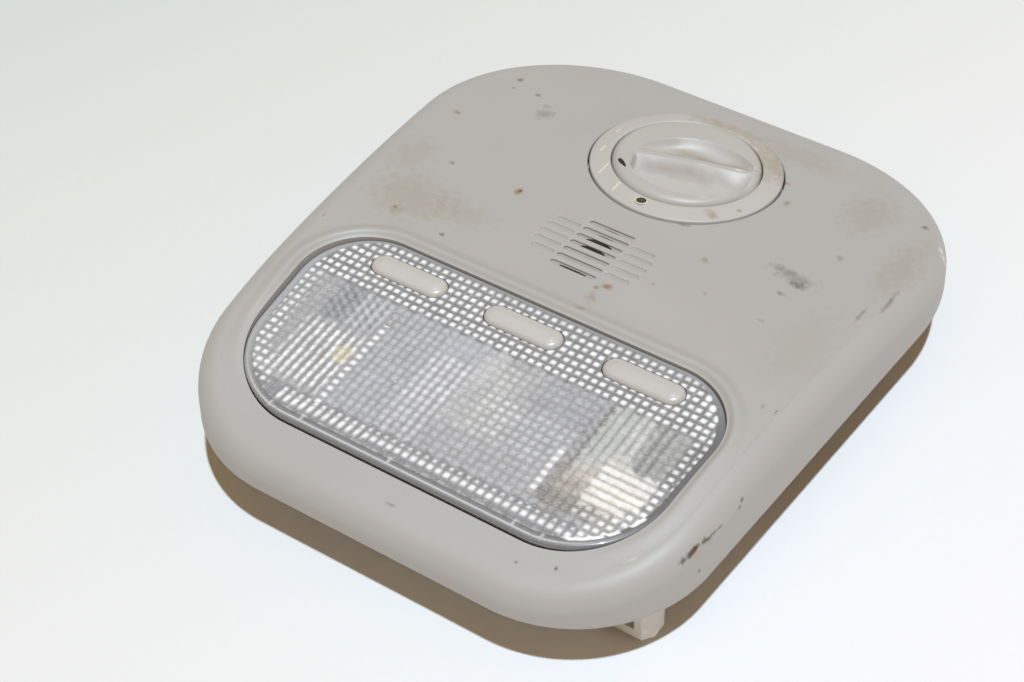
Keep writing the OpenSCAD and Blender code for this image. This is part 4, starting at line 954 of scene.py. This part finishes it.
def lens_light(x, y):
    """Linear colour of every point, all painted light: the zone's colour as painted reflection, dark lines of
    painted shade, bright bars and spots of painted highlight, then the rim.
    """
    dice = np.random.default_rng(7)
    u, v = lattice(x, y)
    cu, cv = np.round(u).astype(int), np.round(v).astype(int)
    pick = dice.random((4, 64, 40))[:, np.clip(cu + 2, 0, 63), np.clip(cv + 4, 0, 39)]
    du, dv = u - cu + 0.1 * (pick[2] - 0.5), v - cv + 0.1 * (pick[3] - 0.5)
    depth, nx, ny = lens_depth(x, y)
    depth = -depth
    amounts = np.zeros((5,) + x.shape)
    base = np.zeros(x.shape + (3,))
    # the wells' edges are seen through the prisms, so the zones' borders waver by half a millimetre
    zone_x, zone_y = x + 0.5 * np.sin(1.7 * y + 0.6 * x), y + 0.5 * np.sin(1.3 * x + 0.8 * y)
    for box, *shares, colour in ZONES:
        w = window(zone_x, zone_y, *box)
        amounts += (np.array(shares)[:, None] - amounts) * w
        base += (np.array(tint(colour)[:3]) - base) * w[..., None]
    spots, uprights, levels, lines_y, lines_x = amounts
    # a border of spots runs inside the edge, except at the near side, which has its own row
    side = np.maximum(ramp(y, -21, -19), ramp(np.abs(x), 41, 43))
    border = ramp(depth, 1.0, 1.6) * ramp(-depth, -6.4, -5.2) * side
    spots = np.maximum(spots, border * np.where(y > -2, 0.8, 1.0))
    spot = bump_at(du, 0.30, 4) * bump_at(dv, 0.26, 4)
    # one column on each side of the middle well stands half a cell lower
    column = np.maximum(window(x, y, 26.4, 28.8, -18.4, -4.5, 0.3),
        window(x, y, -29.6, -27.0, -22.2, 5.5, 0.3))
    low_dv = v - 0.45 - np.round(v - 0.45)
    upright = bump_at(du, 0.22, 3) * (0.62 + 0.38 * bump_at(dv, 0.36, 4))
    level = bump_at(dv, 0.33, 6)
    lines = np.maximum(lines_y * np.exp(-((np.abs(du) - 0.5) / 0.1) ** 2),
        lines_x * np.exp(-((np.abs(dv) - 0.5) / 0.11) ** 2))
    wavy = np.maximum(window(x, y, -45, -30.5, 1.5, 12, 1.0), window(x, y, 29.2, 31.8, -7, 12, 0.3))
    wave = 1 + 0.2 * np.sin(1.9 * x + 2.6 * y) * wavy
    light = np.array(tint("#fbfbfd")[:3]) * 1.25
    shade = base * ((1 - lines) * wave * (0.93 + 0.14 * pick[1]))[..., None]
    vary = 0.74 + 0.36 * pick[0]
    glow = np.maximum.reduce([spots * spot * vary, uprights * upright * vary, levels * level * vary,
                              0.95 * column * bump_at(du, 0.34, 3) * bump_at(low_dv, 0.28, 3),
                              near_row(x, y, (u - cu) * CELL) * (0.8 + 0.2 * pick[0])])
    glow = np.maximum(glow, sum(bump_at(np.hypot(x - sx, y - sy), 0.75, 4) for sx, sy in SPARKS))
    glow = np.maximum(glow, dice.random(x.shape) ** 14 * 0.35 * (depth > 2))
    shade = shade + (light - shade) * np.clip(glow, 0, 1)[..., None]
    return rim_light(shade, x, y, depth, nx, ny, light)


print("lens zones", len(ZONES))


# %% [markdown]
# The lens is acrylic with a polished outer face. The stored light is its base
# colour, and a clear coat on top gives the polish: sharp reflections over soft
# spots. A fine noise under the coat keeps the cushions from looking printed.

# %% Lens finish
def lens_finish():
    """Stored light as base colour, a fine bump under a smooth clear coat."""
    made, tree, shader = new_finish("pmma_lens_polished")
    stored = add(tree, "ShaderNodeAttribute", attribute_name="painted_prism_light")
    place = add(tree, "ShaderNodeTexCoord")
    ripple = add(tree, "ShaderNodeTexNoise",
        {"Vector": place.outputs["Object"], "Scale": 1000 / 0.7, "Detail": 2.0})
    vary = add(tree, "ShaderNodeMapRange",
        {"Value": ripple.outputs["Fac"], "From Min": 0.3, "From Max": 0.7, "To Min": 0.93, "To Max": 1.06})
    shade = add(tree, "ShaderNodeVectorMath",
        {0: stored.outputs["Color"], "Scale": vary.outputs["Result"]}, operation="SCALE")
    bump = add(tree, "ShaderNodeBump",
        {"Height": ripple.outputs["Fac"], "Distance": 0.05 * MM, "Strength": 0.5})
    tree.links.new(shade.outputs[0], shader.inputs["Base Color"])
    tree.links.new(bump.outputs["Normal"], shader.inputs["Normal"])
    shader.inputs["Roughness"].default_value = 0.3
    shader.inputs["IOR"].default_value = 1.49
    shader.inputs["Coat Weight"].default_value = 1.0
    shader.inputs["Coat Roughness"].default_value = 0.06
    shader.inputs["Coat IOR"].default_value = 1.49
    return made


LENS_FINISH = lens_finish()


# %% Lens
def lens():
    """The worked plate with its rounded edge, and the skirt below it as a closed ring."""
    step = 0.28
    xs = np.arange(-LENS_FAR_W / 2 - 1, LENS_FAR_W / 2 + 1, step)
    ys = np.arange(-LENS_D / 2 - 1, LENS_D / 2 + 1, step)

    def outer(x, y):
        return (lens_depth(x, y)[0] > -LENS_SOFT - 0.3).astype(float)

    spread = LENS_SOFT + 0.25
    rows = [(lambda x, y, a=a: outer(x, y) * spread * math.sin(a), -0.4 * (1 - math.cos(a)) - 0.01)
        for a in np.radians((30, 60, 90))]
    rows += [(lambda x, y: outer(x, y) * spread, z) for z in (-1.2, -1.35, -1.55, -LENS_T)]
    plate = slab(xs, ys, lens_distance, cushion_height, rows)
    skirt = tube(LENS_EDGE, LENS_EDGE_NORMAL,
        [(0.1, -LENS_T + 0.1), (0.1, -6.2), (-2.4, -6.2), (-2.4, -LENS_T + 0.1)])
    skirt = skirt[0], skirt[1][:, ::-1]
    points, quads = join(plate, skirt)
    colours = np.ones((len(points), 4))
    colours[:, :3] = lens_light(points[:, 0], points[:, 1])
    # The rounded edge and side wall are coloured by height: a grey of painted reflection, a thin painted
    # highlight line, then painted shade below.
    for below, tone in ((-0.35, "#8d9094"), (-1.3, "#d8dadc"), (-1.45, "#7f8286")):
        colours[points[:, 2] < below, :3] = tint(tone)[:3]
    return make_piece("prismatic_lens", in_lamp(points), quads, LENS_FINISH, "light", "lens_plastic",
        ["lens"], 50.0, colours, True)


lens()


# %% [markdown]
# A button is a bar with round ends, a soft edge and a slight dome. Below the
# lens it widens to a flange that keeps it in its slot, and a stem reaches the
# switch. The three are one shape, moved along X.

# %% Buttons
def button(name, i, body):
    """Dome: a parabola across the bar's width; edge: a quarter round of 1.6 mm; then flange and stem."""
    inner_w = BUTTON_W - 2 * BUTTON_EDGE_R
    inner_l = BUTTON_L - 2 * BUTTON_EDGE_R
    xs = np.arange(-inner_l / 2 - 0.5, inner_l / 2 + 0.5, 0.3)
    ys = np.arange(-inner_w / 2 - 0.4, inner_w / 2 + 0.4, 0.22)
    edge_z = BUTTON_PROUD - 0.3

    def dome(x, y):
        d = bar_distance(x, y, inner_l, inner_w)[0] + inner_w / 2
        return BUTTON_PROUD - 0.3 * (d / (inner_w / 2)) ** 2

    rows = [(BUTTON_EDGE_R * math.sin(a), edge_z - BUTTON_EDGE_R * (1 - math.cos(a)))
        for a in np.radians((15, 30, 45, 60, 75, 90))]
    rows += [(BUTTON_EDGE_R, -2.9), (BUTTON_EDGE_R + 0.9, -2.9), (BUTTON_EDGE_R + 0.9, -3.9)]
    cap = slab(xs, ys, lambda x, y: bar_distance(x, y, inner_l, inner_w), dome, rows)
    stem_curve = np.array([[6.0, -1.5], [6.0, 1.5], [-6.0, 1.5], [-6.0, -1.5]])
    stem = stack_points(stem_curve, stem_curve * 0, [(0.0, np.full(4, -9.6)), (0.0, np.full(4, -3.8))])
    stem = stem.reshape(-1, 3), loop_quads(4, 4, False)
    points, quads = join(cap, stem)
    points = points + [i * BUTTON_PITCH, BUTTON_Y, 0]
    return make_piece(name, in_lamp(points), quads, BUTTON_FINISH, body, "button_plastic",
        [name.replace("_cap", "")], fill=True)


for number, side in ((-1, "left"), (0, "centre"), (1, "right")):
    button(f"{side}_button_cap", number, f"{side}_press_button")


# %% [markdown]
# The scale ring round the dial is a turned shape: its top falls outwards, its
# edges are softly rounded, and behind the face it widens to a flange with
# three screw ears. The ears are one formula: the flange's radius is the
# farther of its own circle and the ear's circle, seen from the centre.

# %% Scale ring
def around(n):
    """Angles of n equal steps round a circle, and their unit vectors."""
    a = np.linspace(0, 2 * math.pi, n + 1)[:-1]
    return a, np.stack([np.cos(a), np.sin(a)], -1)


def ear_reach(a):
    """Radius of the flange at an angle: 26.5 mm, or the far side of a 3.5 mm ear centred at 28.5 mm."""
    reach = np.full(a.shape, RING_R + 1.5)
    for ear in np.radians((30, 150, 270)):
        gap = np.arctan2(np.sin(a - ear), np.cos(a - ear))
        inside = 3.5 ** 2 - (28.5 * np.sin(gap)) ** 2
        ear_r = 28.5 * np.cos(gap) + np.sqrt(np.clip(inside, 0, None))
        reach = np.where((inside > 0) & (np.abs(gap) < 1), np.maximum(reach, ear_r), reach)
    return reach


RING_IN_R, RING_SOFT = KNOB_R + 0.28, 0.4
INDICATOR = np.array([-0.8, -21.5])
INDICATOR_HOLE_R, COLLAR_R, DOME_R = 1.45, 1.5, 1.4


def ring():
    """Rows of radius and height: rounded inner lip, sloping top, rounded rim, plate, wall and flange."""
    a, way = around(192)
    one = np.ones(len(a))
    rows = [(RING_IN_R, -5.2), (RING_IN_R, 1.2 - RING_SOFT)]
    rows += [(RING_IN_R + RING_SOFT * (1 - math.cos(t)), 1.2 - RING_SOFT * (1 - math.sin(t)))
        for t in np.radians((30, 60, 90))]
    rows += [(RING_IN_R + RING_SOFT + (RING_R - 0.5 - RING_IN_R - RING_SOFT) * t, 1.2 - 0.8 * t)
        for t in (0.25, 0.5, 0.75)]
    rows += [(RING_R - 0.5 + 0.5 * math.sin(t), 0.4 - 0.5 * (1 - math.cos(t)))
        for t in np.radians((0, 30, 60, 90))]
    rows += [(RING_R, -1.8), (RING_IN_R + 2.2, -1.8), (RING_IN_R + 2.2, -5.2)]
    rings = [np.column_stack([way * r, one * z]) for r, z in rows]
    reach = ear_reach(a)[:, None]
    rings += [np.column_stack([way * reach, one * -5.2]), np.column_stack([way * reach, one * -6.7])]
    rings += [np.column_stack([way * 8.0, one * -6.7]), np.column_stack([way * 8.0, one * -5.2])]
    points = np.stack(rings)
    quads = loop_quads(points.shape[0], points.shape[1], True)[:, ::-1]
    made = make_piece("scale_ring", in_dial(points.reshape(-1, 3)), quads, RING_FINISH, "light",
        "ring_plastic", ["dial_ring"])
    way = around(40)[1]
    cut_with(made, [in_dial(stack_points(way * INDICATOR_HOLE_R + INDICATOR, way,
        [(0.0, np.full(40, -1.35)), (0.0, np.full(40, 3.0))]))], 38.0)
    return made


ring()


# %% [markdown]
# On the ring are printed short cream ticks, and at its near side a small smoked
# window sits in a pale collar. The ticks are thin raised films of ink, laid on
# the ring's slope by formula, and all of them point the same way.

# %% Ticks and window
def ring_top(r):
    """Height of the ring's sloping top at a radius."""
    t = (r - RING_IN_R - RING_SOFT) / (RING_R - 0.5 - RING_IN_R - RING_SOFT)
    return 1.2 - 0.8 * np.clip(t, 0, 1)


def film(name, curve, thick, finish, body, slot, skin, place):
    """A thin raised patch inside a curve: rings that shrink to its middle, each laid on the skin's height."""
    centre = curve.mean(axis=0)
    rings = []
    for share, lift in ((0.0, -0.3), (1.0, -0.05), (1.0, 0.6 * thick), (0.94, thick), (0.7, thick),
            (0.4, thick), (0.0, thick)):
        p = centre + (curve - centre) * share
        rings.append(np.column_stack([p, skin(p[:, 0], p[:, 1]) + lift]))
    points = np.stack(rings)
    quads = loop_quads(points.shape[0], points.shape[1], False)
    return make_piece(name, place(points.reshape(-1, 3)), quads, finish, body, slot)


def ring_skin(x, y):
    """The ring's top over the dial's plane."""
    return ring_top(np.hypot(x, y))


def tick(name, x, near, far):
    """A short bar across the ring; all of them lie parallel to Y."""
    curve = obround(far - near, 0.55, 6)[0] @ np.array([[0.0, 1.0], [-1.0, 0.0]]) + [x, (near + far) / 2]
    return film(name, curve, 0.05, TICK_FINISH, "light", "ring_plastic", ring_skin, in_dial)


TICK_PLACES = [(-9.15, -21.8, -18.0), (-16.0, -17.2, -12.4), (-21.0, -8.6, -5.6), (-22.3, 1.8, 3.8)]
for number, tick_place in enumerate(TICK_PLACES):
    tick(f"scale_tick_{number}", *tick_place)


def collar():
    """The pale collar round the indicator window: a small torus laid on the ring."""
    way = around(40)[1]
    height = float(ring_skin(*INDICATOR))
    rings = [np.column_stack([INDICATOR + way * (COLLAR_R + 0.22 * math.cos(t)),
        np.full(40, height + 0.13 * math.sin(t))]) for t in around(12)[0]]
    return make_piece("indicator_collar", in_dial(np.stack(rings).reshape(-1, 3)),
        loop_quads(12, 40, True), TICK_FINISH, "light", "ring_plastic")


def indicator():
    """The window's dome: height 0.1 - 0.55 (r / 1.4)^2 over the ring, closed below."""
    way = around(40)[1]
    height = float(ring_skin(*INDICATOR))
    rows = [(0.0, -1.3), (DOME_R, -1.3)] + [(DOME_R * t, height + 0.1 - 0.55 * t * t)
        for t in (1.0, 0.85, 0.65, 0.4, 0.2, 0.0)]
    rings = np.stack([np.column_stack([INDICATOR + way * r, np.full(40, z)]) for r, z in rows])
    return make_piece("indicator_dome", in_dial(rings.reshape(-1, 3)), loop_quads(len(rows), 40, False),
        INDICATOR_FINISH, "light",
                      "indicator_plastic", ["indicator_lens"])


collar()
indicator()

# %% [markdown]
# The knob is a low disc with two finger scoops that leave a blade between
# them. Each scoop runs from the blade to an arc and dips between the two like
# half a sine wave, so that its outer end stays a crisp edge.

# %% Knob
BLADE_Y, KNOB_SPIN = -0.4, 18.5
SCOOP_NEAR, SCOOP_FAR = (1.3, 0.3, 16.4), (2.0, -8.6, 18.6)


def scoop(away, width, deepest, full, low):
    """Depth of a scoop: half a sine wave over its local width with its lowest point at the share low."""
    share = np.clip(away / np.maximum(width, 0.2), 0, 1)
    phase = np.where(share < low, 0.5 * share / low, 0.5 + 0.5 * (share - low) / (1 - low))
    return deepest * ramp(width, 0, full) * np.sin(math.pi * phase)


def knob_top(x, y):
    """A shallow crown less the near scoop, the far scoop and the dip of the blade's ridge."""
    half = 0.9 - 0.02 * (x + 14)
    crown = KNOB_H - 1.05 - 0.25 * (np.hypot(x, y) / 17.1) ** 2
    near_x, near_y, near_r = SCOOP_NEAR
    near_edge = near_y - np.sqrt(np.clip(near_r ** 2 - (x - near_x) ** 2, 0, None))
    far_x, far_y, far_r = SCOOP_FAR
    far_edge = far_y + np.sqrt(np.clip(far_r ** 2 - (x - far_x) ** 2, 0, None))
    near = scoop(BLADE_Y - half - y, BLADE_Y - half - near_edge, 3.6, 12.0, 0.74) * ramp(x, -13.9, -12.6)
    far = scoop(y - BLADE_Y - half, far_edge - BLADE_Y - half, 2.4, 9.0, 0.62)
    on_blade = ramp(-np.abs(y - BLADE_Y), -half - 0.4, -half + 0.2)
    ridge = 0.9 * ramp(x, 4, 19) * (1 - ramp(x, 16.2, 18)) * on_blade
    return crown - near - far - ridge


def knob_skin(x, y):
    """Height of the knob's top and rounded rim over the dial's plane, with the knob turned as it stands."""
    c, s = math.cos(math.radians(KNOB_SPIN)), math.sin(math.radians(KNOB_SPIN))
    x, y = x * c + y * s, y * c - x * s
    r = np.hypot(x, y)
    inward = np.minimum(1, (KNOB_R - 2.2) / np.maximum(r, 1e-6))
    past = np.clip(r - (KNOB_R - 2.2), 0, 2.19)
    return knob_top(x * inward, y * inward) - 2.2 + np.sqrt(2.2 ** 2 - past ** 2)


def knob():
    """Worked top inside 17.1 mm, then a quarter round of 2.2 mm, the side and a hub below."""
    inner = KNOB_R - 2.2
    xs = np.arange(-inner - 0.5, inner + 0.5, 0.2)
    ys = np.arange(-inner - 0.5, inner + 0.5, 0.2)

    def disc(x, y):
        r = np.hypot(x, y) + 1e-9
        return r - inner, x / r, y / r

    def edge(t):
        return lambda x, y: knob_top(x, y) - 2.2 * (1 - math.cos(t))

    rows = [(2.2 * math.sin(t), edge(t)) for t in np.radians((12, 25, 40, 55, 70, 90))] + [(2.2, -2.6)]
    cap = slab(xs, ys, disc, knob_top, rows)
    a, way = around(64)
    hub = stack_points(way * 6.0, way, [(0.0, np.full(64, -4.9)), (0.0, np.full(64, -2.5))])
    hub = hub.reshape(-1, 3), loop_quads(4, 64, False)
    points, quads = join(cap, hub)
    return make_piece("knob_grip", in_dial(points, KNOB_SPIN), quads, KNOB_FINISH, "turning_dial",
        "knob_plastic", ["dial_knob"], fill=True)


knob()

# %% [markdown]
# Fingers leave brown grime beside the blade, where they can't be wiped away;
# the same brown marks are also painted shade on the blade's steep flank and in
# the far scoop, and pale marks along the near scoop's edge are a painted
# highlight. The dark pointer is a small leaf printed on the knob's rim.

# %% Pointer and plate
def pointer():
    """A leaf on the knob's rim: an ellipse whose half width grows by 0.35 of itself towards its blunt end."""
    a = around(32)[0]
    leaf = np.stack([2.1 * np.cos(a), 0.6 * np.sin(a) * (1 - 0.35 * np.cos(a))], -1)
    t = math.radians(-34.6)
    curve = leaf @ np.array([[math.cos(t), math.sin(t)], [-math.sin(t), math.cos(t)]]) + [-12.5, -11.6]
    return film("knob_pointer", curve, 0.06, MARK_FINISH, "turning_dial", "knob_plastic", knob_skin,
        in_dial)


def microphone_plate():
    """The plate behind the grille, 0.6 mm thick and parallel to the face, on a tube that fits the socket."""
    top, under = plate_rings(0.1, PLATE_DEPTH + PLATE_GAP), plate_rings(0.1, PLATE_DEPTH + PLATE_GAP + 0.6)
    disc = np.stack(under + top[::-1])
    tube_points, tube_quads = pipe(GRILLE, SOCKET_R - 0.1, SOCKET_R - 1.0, 19.0,
        PLATE_DEPTH + PLATE_GAP + 0.4, None, 64)
    points, quads = join((disc.reshape(-1, 3), loop_quads(len(disc), 64, False)), (tube_points, tube_quads))
    return make_piece("microphone_plate", points, quads, HOLDER_FINISH, "light", "bezel_plastic",
        ["microphone_holder"])


def slot_shade_sheet(name, row, length, flat, bulge):
    """A thin black sheet of painted shade on the plate, standing for the dark of the hole behind the plate
    and of the gap at its edge as seen through one slot: one side is flat, the other bulges.
    """
    a = around(36)[0]
    share = (np.where(np.sin(a) > 0, np.sin(a), 0.3 * np.sin(a)) + 0.3) / 1.3
    curve = GRILLE + np.stack([length / 2 * np.cos(a), row * SLOT_PITCH + flat + (bulge - flat) * share],
        -1)
    return film(name, curve, 0.05, SLOT_SHADE_FINISH, "light", "switch_plastic", lambda px,
        py: face_z(py) - PLATE_DEPTH - PLATE_GAP, lambda points: points)


pointer()
microphone_plate()
# Each patch of painted shade: row of the grille, length, y of the flat side, y of the bulge
SLOT_SHADE_PATCHES = [
    (1, 7.6, -0.8, 0.85), (0, 7.4, -0.8, 0.85), (2, 6.4, -0.8, 0.0), (3, 6.4, -0.8, -0.05),
    (-3, 7.6, 0.3, -0.85)]
for number, patch in enumerate(SLOT_SHADE_PATCHES):
    slot_shade_sheet(f"slot_shade_patch_{number}", *patch)
make_piece("bezel_bosses", *behind_face(), BEZEL_FINISH, "light", "bezel_plastic")
# Knob marks: the brown ones are grime and also painted shade on the flank and in the far scoop; the pale ones
# are a painted highlight along the near scoop's edge.
KNOB_GRIME_SHADE_AND_HIGHLIGHT = [
    (-8.2, 44.6, 25.5, 5.5, 2.2, 5.0, 0.45, "#95887a"), (-2.0, 46.4, 25.0, 6.5, 2.6, 5.0, 0.50, "#908272"),
    (4.0, 48.2, 25.0, 6.5, 2.6, 5.0, 0.50, "#908272"), (10.0, 50.6, 24.5, 5.5, 2.2, 5.0, 0.45, "#95887a"),
    (-2.0, 52.6, 24.0, 6.0, 1.2, 4.0, 0.45, "#8d8068"), (5.0, 55.0, 24.0, 5.0, 1.8, 4.0, 0.50, "#998a76"),
    (11.0, 57.0, 24.0, 4.5, 2.6, 4.0, 0.55, "#a08d74"), (-4.5, 38.3, 28.3, 4.0, 1.2, 4.0, 0.75, PALE_CHIP_AND_HIGHLIGHT),
    (2.1, 37.2, 28.5, 4.5, 1.1, 4.0, 0.80, PALE_CHIP_AND_HIGHLIGHT), (8.4, 39.0, 28.3, 4.0, 1.2, 4.0, 0.75, PALE_CHIP_AND_HIGHLIGHT),
    (12.8, 43.0, 27.5, 2.4, 2.0, 4.0, 0.70, PALE_CHIP_AND_HIGHLIGHT), (-1.0, 56.0, 24.5, 8.0, 2.4, 4.0, 0.55, "#a99c8b"),
]
stained(KNOB_FINISH, KNOB_GRIME_SHADE_AND_HIGHLIGHT, 4.5, 0.45)
stained(HOUSING_FINISH, [(60.1, -68.3, 4.7, 0.8, 0.8, 0.9, 0.9, PALE_CHIP_AND_HIGHLIGHT),
    (61.6, -66.4, 2.1, 0.9, 0.9, 0.8, 0.9, PALE_CHIP_AND_HIGHLIGHT)], 1.5)
RING_GRIME = [
    (16.1, 35.5, 27.1, 2.2, 1.5, 3.0, 0.45, RUST), (20.8, 41.0, 26.5, 0.7, 0.7, 3.0, 0.5, RUST),
    (18.0, 64.0, 23.5, 9.0, 8.0, 4.0, 0.55, DUST), (6.0, 73.0, 22.5, 12.0, 4.0, 4.0, 0.45, DUST),
    (-6.0, 73.0, 22.5, 9.0, 3.0, 4.0, 0.35, DUST),
]
stained(RING_FINISH, RING_GRIME)
print("grime and painted light on knob and ring:", len(KNOB_GRIME_SHADE_AND_HIGHLIGHT) + len(RING_GRIME))

# %% [markdown]
# The hidden and carried-over CAD solids only need their finishes. They are
# assigned by node, so that each bulb, contact, screw and clip shows the
# material that it is made of when the light is turned over or taken apart.

# %% Finishes of the CAD nodes
FINISH_OF = {
    "reflector": REFLECTOR_FINISH, "lamp_housing": HOUSING_FINISH, "circuit_board": BOARD_FINISH,
    "feed_strip": CONTACT_FINISH, "lamp_connector": CONNECTOR_FINISH, "lamp_pins": CONTACT_FINISH,
    "switch_base": CONNECTOR_FINISH, "switch_pins": CONTACT_FINISH, "rotary_switch": DARK_FINISH,
    "spindle": SPINDLE_FINISH, "microphone": CAPSULE_FINISH,
}
for side in ("left", "centre", "right"):
    FINISH_OF[f"{side}_bulb"] = GLASS_FINISH
    FINISH_OF[f"{side}_bulb_contacts"] = CONTACT_FINISH
    FINISH_OF[f"{side}_plunger"] = DARK_FINISH
    FINISH_OF[f"{side}_switch"] = DARK_FINISH
for kind in ("board", "housing", "dial"):
    FINISH_OF[f"{kind}_screws"] = SCREW_FINISH
for side in ("left", "right"):
    FINISH_OF[f"{side}_spring_clip"] = SPRING_FINISH
for node_name, finish in FINISH_OF.items():
    for used_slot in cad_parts[node_name].material_slots:
        used_slot.material = finish
print("CAD nodes with a finish:", len(FINISH_OF), "of", len(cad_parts))


# %% [markdown]
# The light lies on white card under a small lamp that is nearly overhead, so
# its shadow is short and crisp, and warm light from the room fills the shadow.
# The lamp's direction was worked out from the shadow's edge.

# %% Floor and light
def card_finish():
    """Matte card: a fine fibre noise, and a slow change of tone across the table."""
    made, tree, shader = new_finish("card_white_matte")
    place = add(tree, "ShaderNodeTexCoord")
    fibre = add(tree, "ShaderNodeTexNoise",
        {"Vector": place.outputs["Object"], "Scale": 700.0, "Detail": 4.0})
    shift, turn, stretch = (0.6, 0.0, 0.0), (0, 0, math.radians(21.7)), (2.86, 2.86, 2.86)
    across = add(tree, "ShaderNodeMapping",
        {"Vector": place.outputs["Object"], "Location": shift, "Rotation": turn, "Scale": stretch})
    slow = add(tree, "ShaderNodeTexGradient", {"Vector": across.outputs[0]})
    tone = add(tree, "ShaderNodeMix", {0: slow.outputs["Fac"], 6: tint("#dcdfda"), 7: tint("#fefdff")},
        data_type="RGBA")
    mixed = add(tree, "ShaderNodeMix", {0: 0.03, 6: tone.outputs[2], 7: fibre.outputs["Color"]},
        data_type="RGBA")
    tree.links.new(mixed.outputs[2], shader.inputs["Base Color"])
    shader.inputs["Roughness"].default_value = 0.75
    return made


def floor():
    """A flat square, 3 m across, just under the feet."""
    half, low = 1.5, -0.00005
    mesh = bpy.data.meshes.new("table_card")
    mesh.from_pydata([(-half, -half, low), (half, -half, low), (half, half, low), (-half, half, low)], [],
        [(0, 1, 2, 3)])
    mesh.materials.append(card_finish())
    made = bpy.data.objects.new("table_card", mesh)
    bpy.context.scene.collection.objects.link(made)


def light():
    """One sun with a small disc from the fitted direction, and a warm even fill from all round."""
    towards = Vector((0.1556, -0.1044, 1.0)).normalized()
    sun = bpy.data.lights.new("lamp_overhead", "SUN")
    sun.energy, sun.angle, sun.color = 2.65, math.radians(2.5), (0.84, 0.983, 1.108)
    lamp = bpy.data.objects.new("lamp_overhead", sun)
    lamp.rotation_mode = "QUATERNION"
    lamp.rotation_quaternion = towards.to_track_quat("Z", "Y")
    bpy.context.scene.collection.objects.link(lamp)
    world = bpy.data.worlds.new("room")
    bpy.context.scene.world = world
    world.use_nodes = True
    sky = world.node_tree.nodes["Background"]
    sky.inputs["Color"].default_value = (1.0, 0.62, 0.26, 1.0)
    sky.inputs["Strength"].default_value = 0.30


floor()
light()
bpy.context.scene.view_settings.view_transform = "Standard"
print("lights and floor are set")
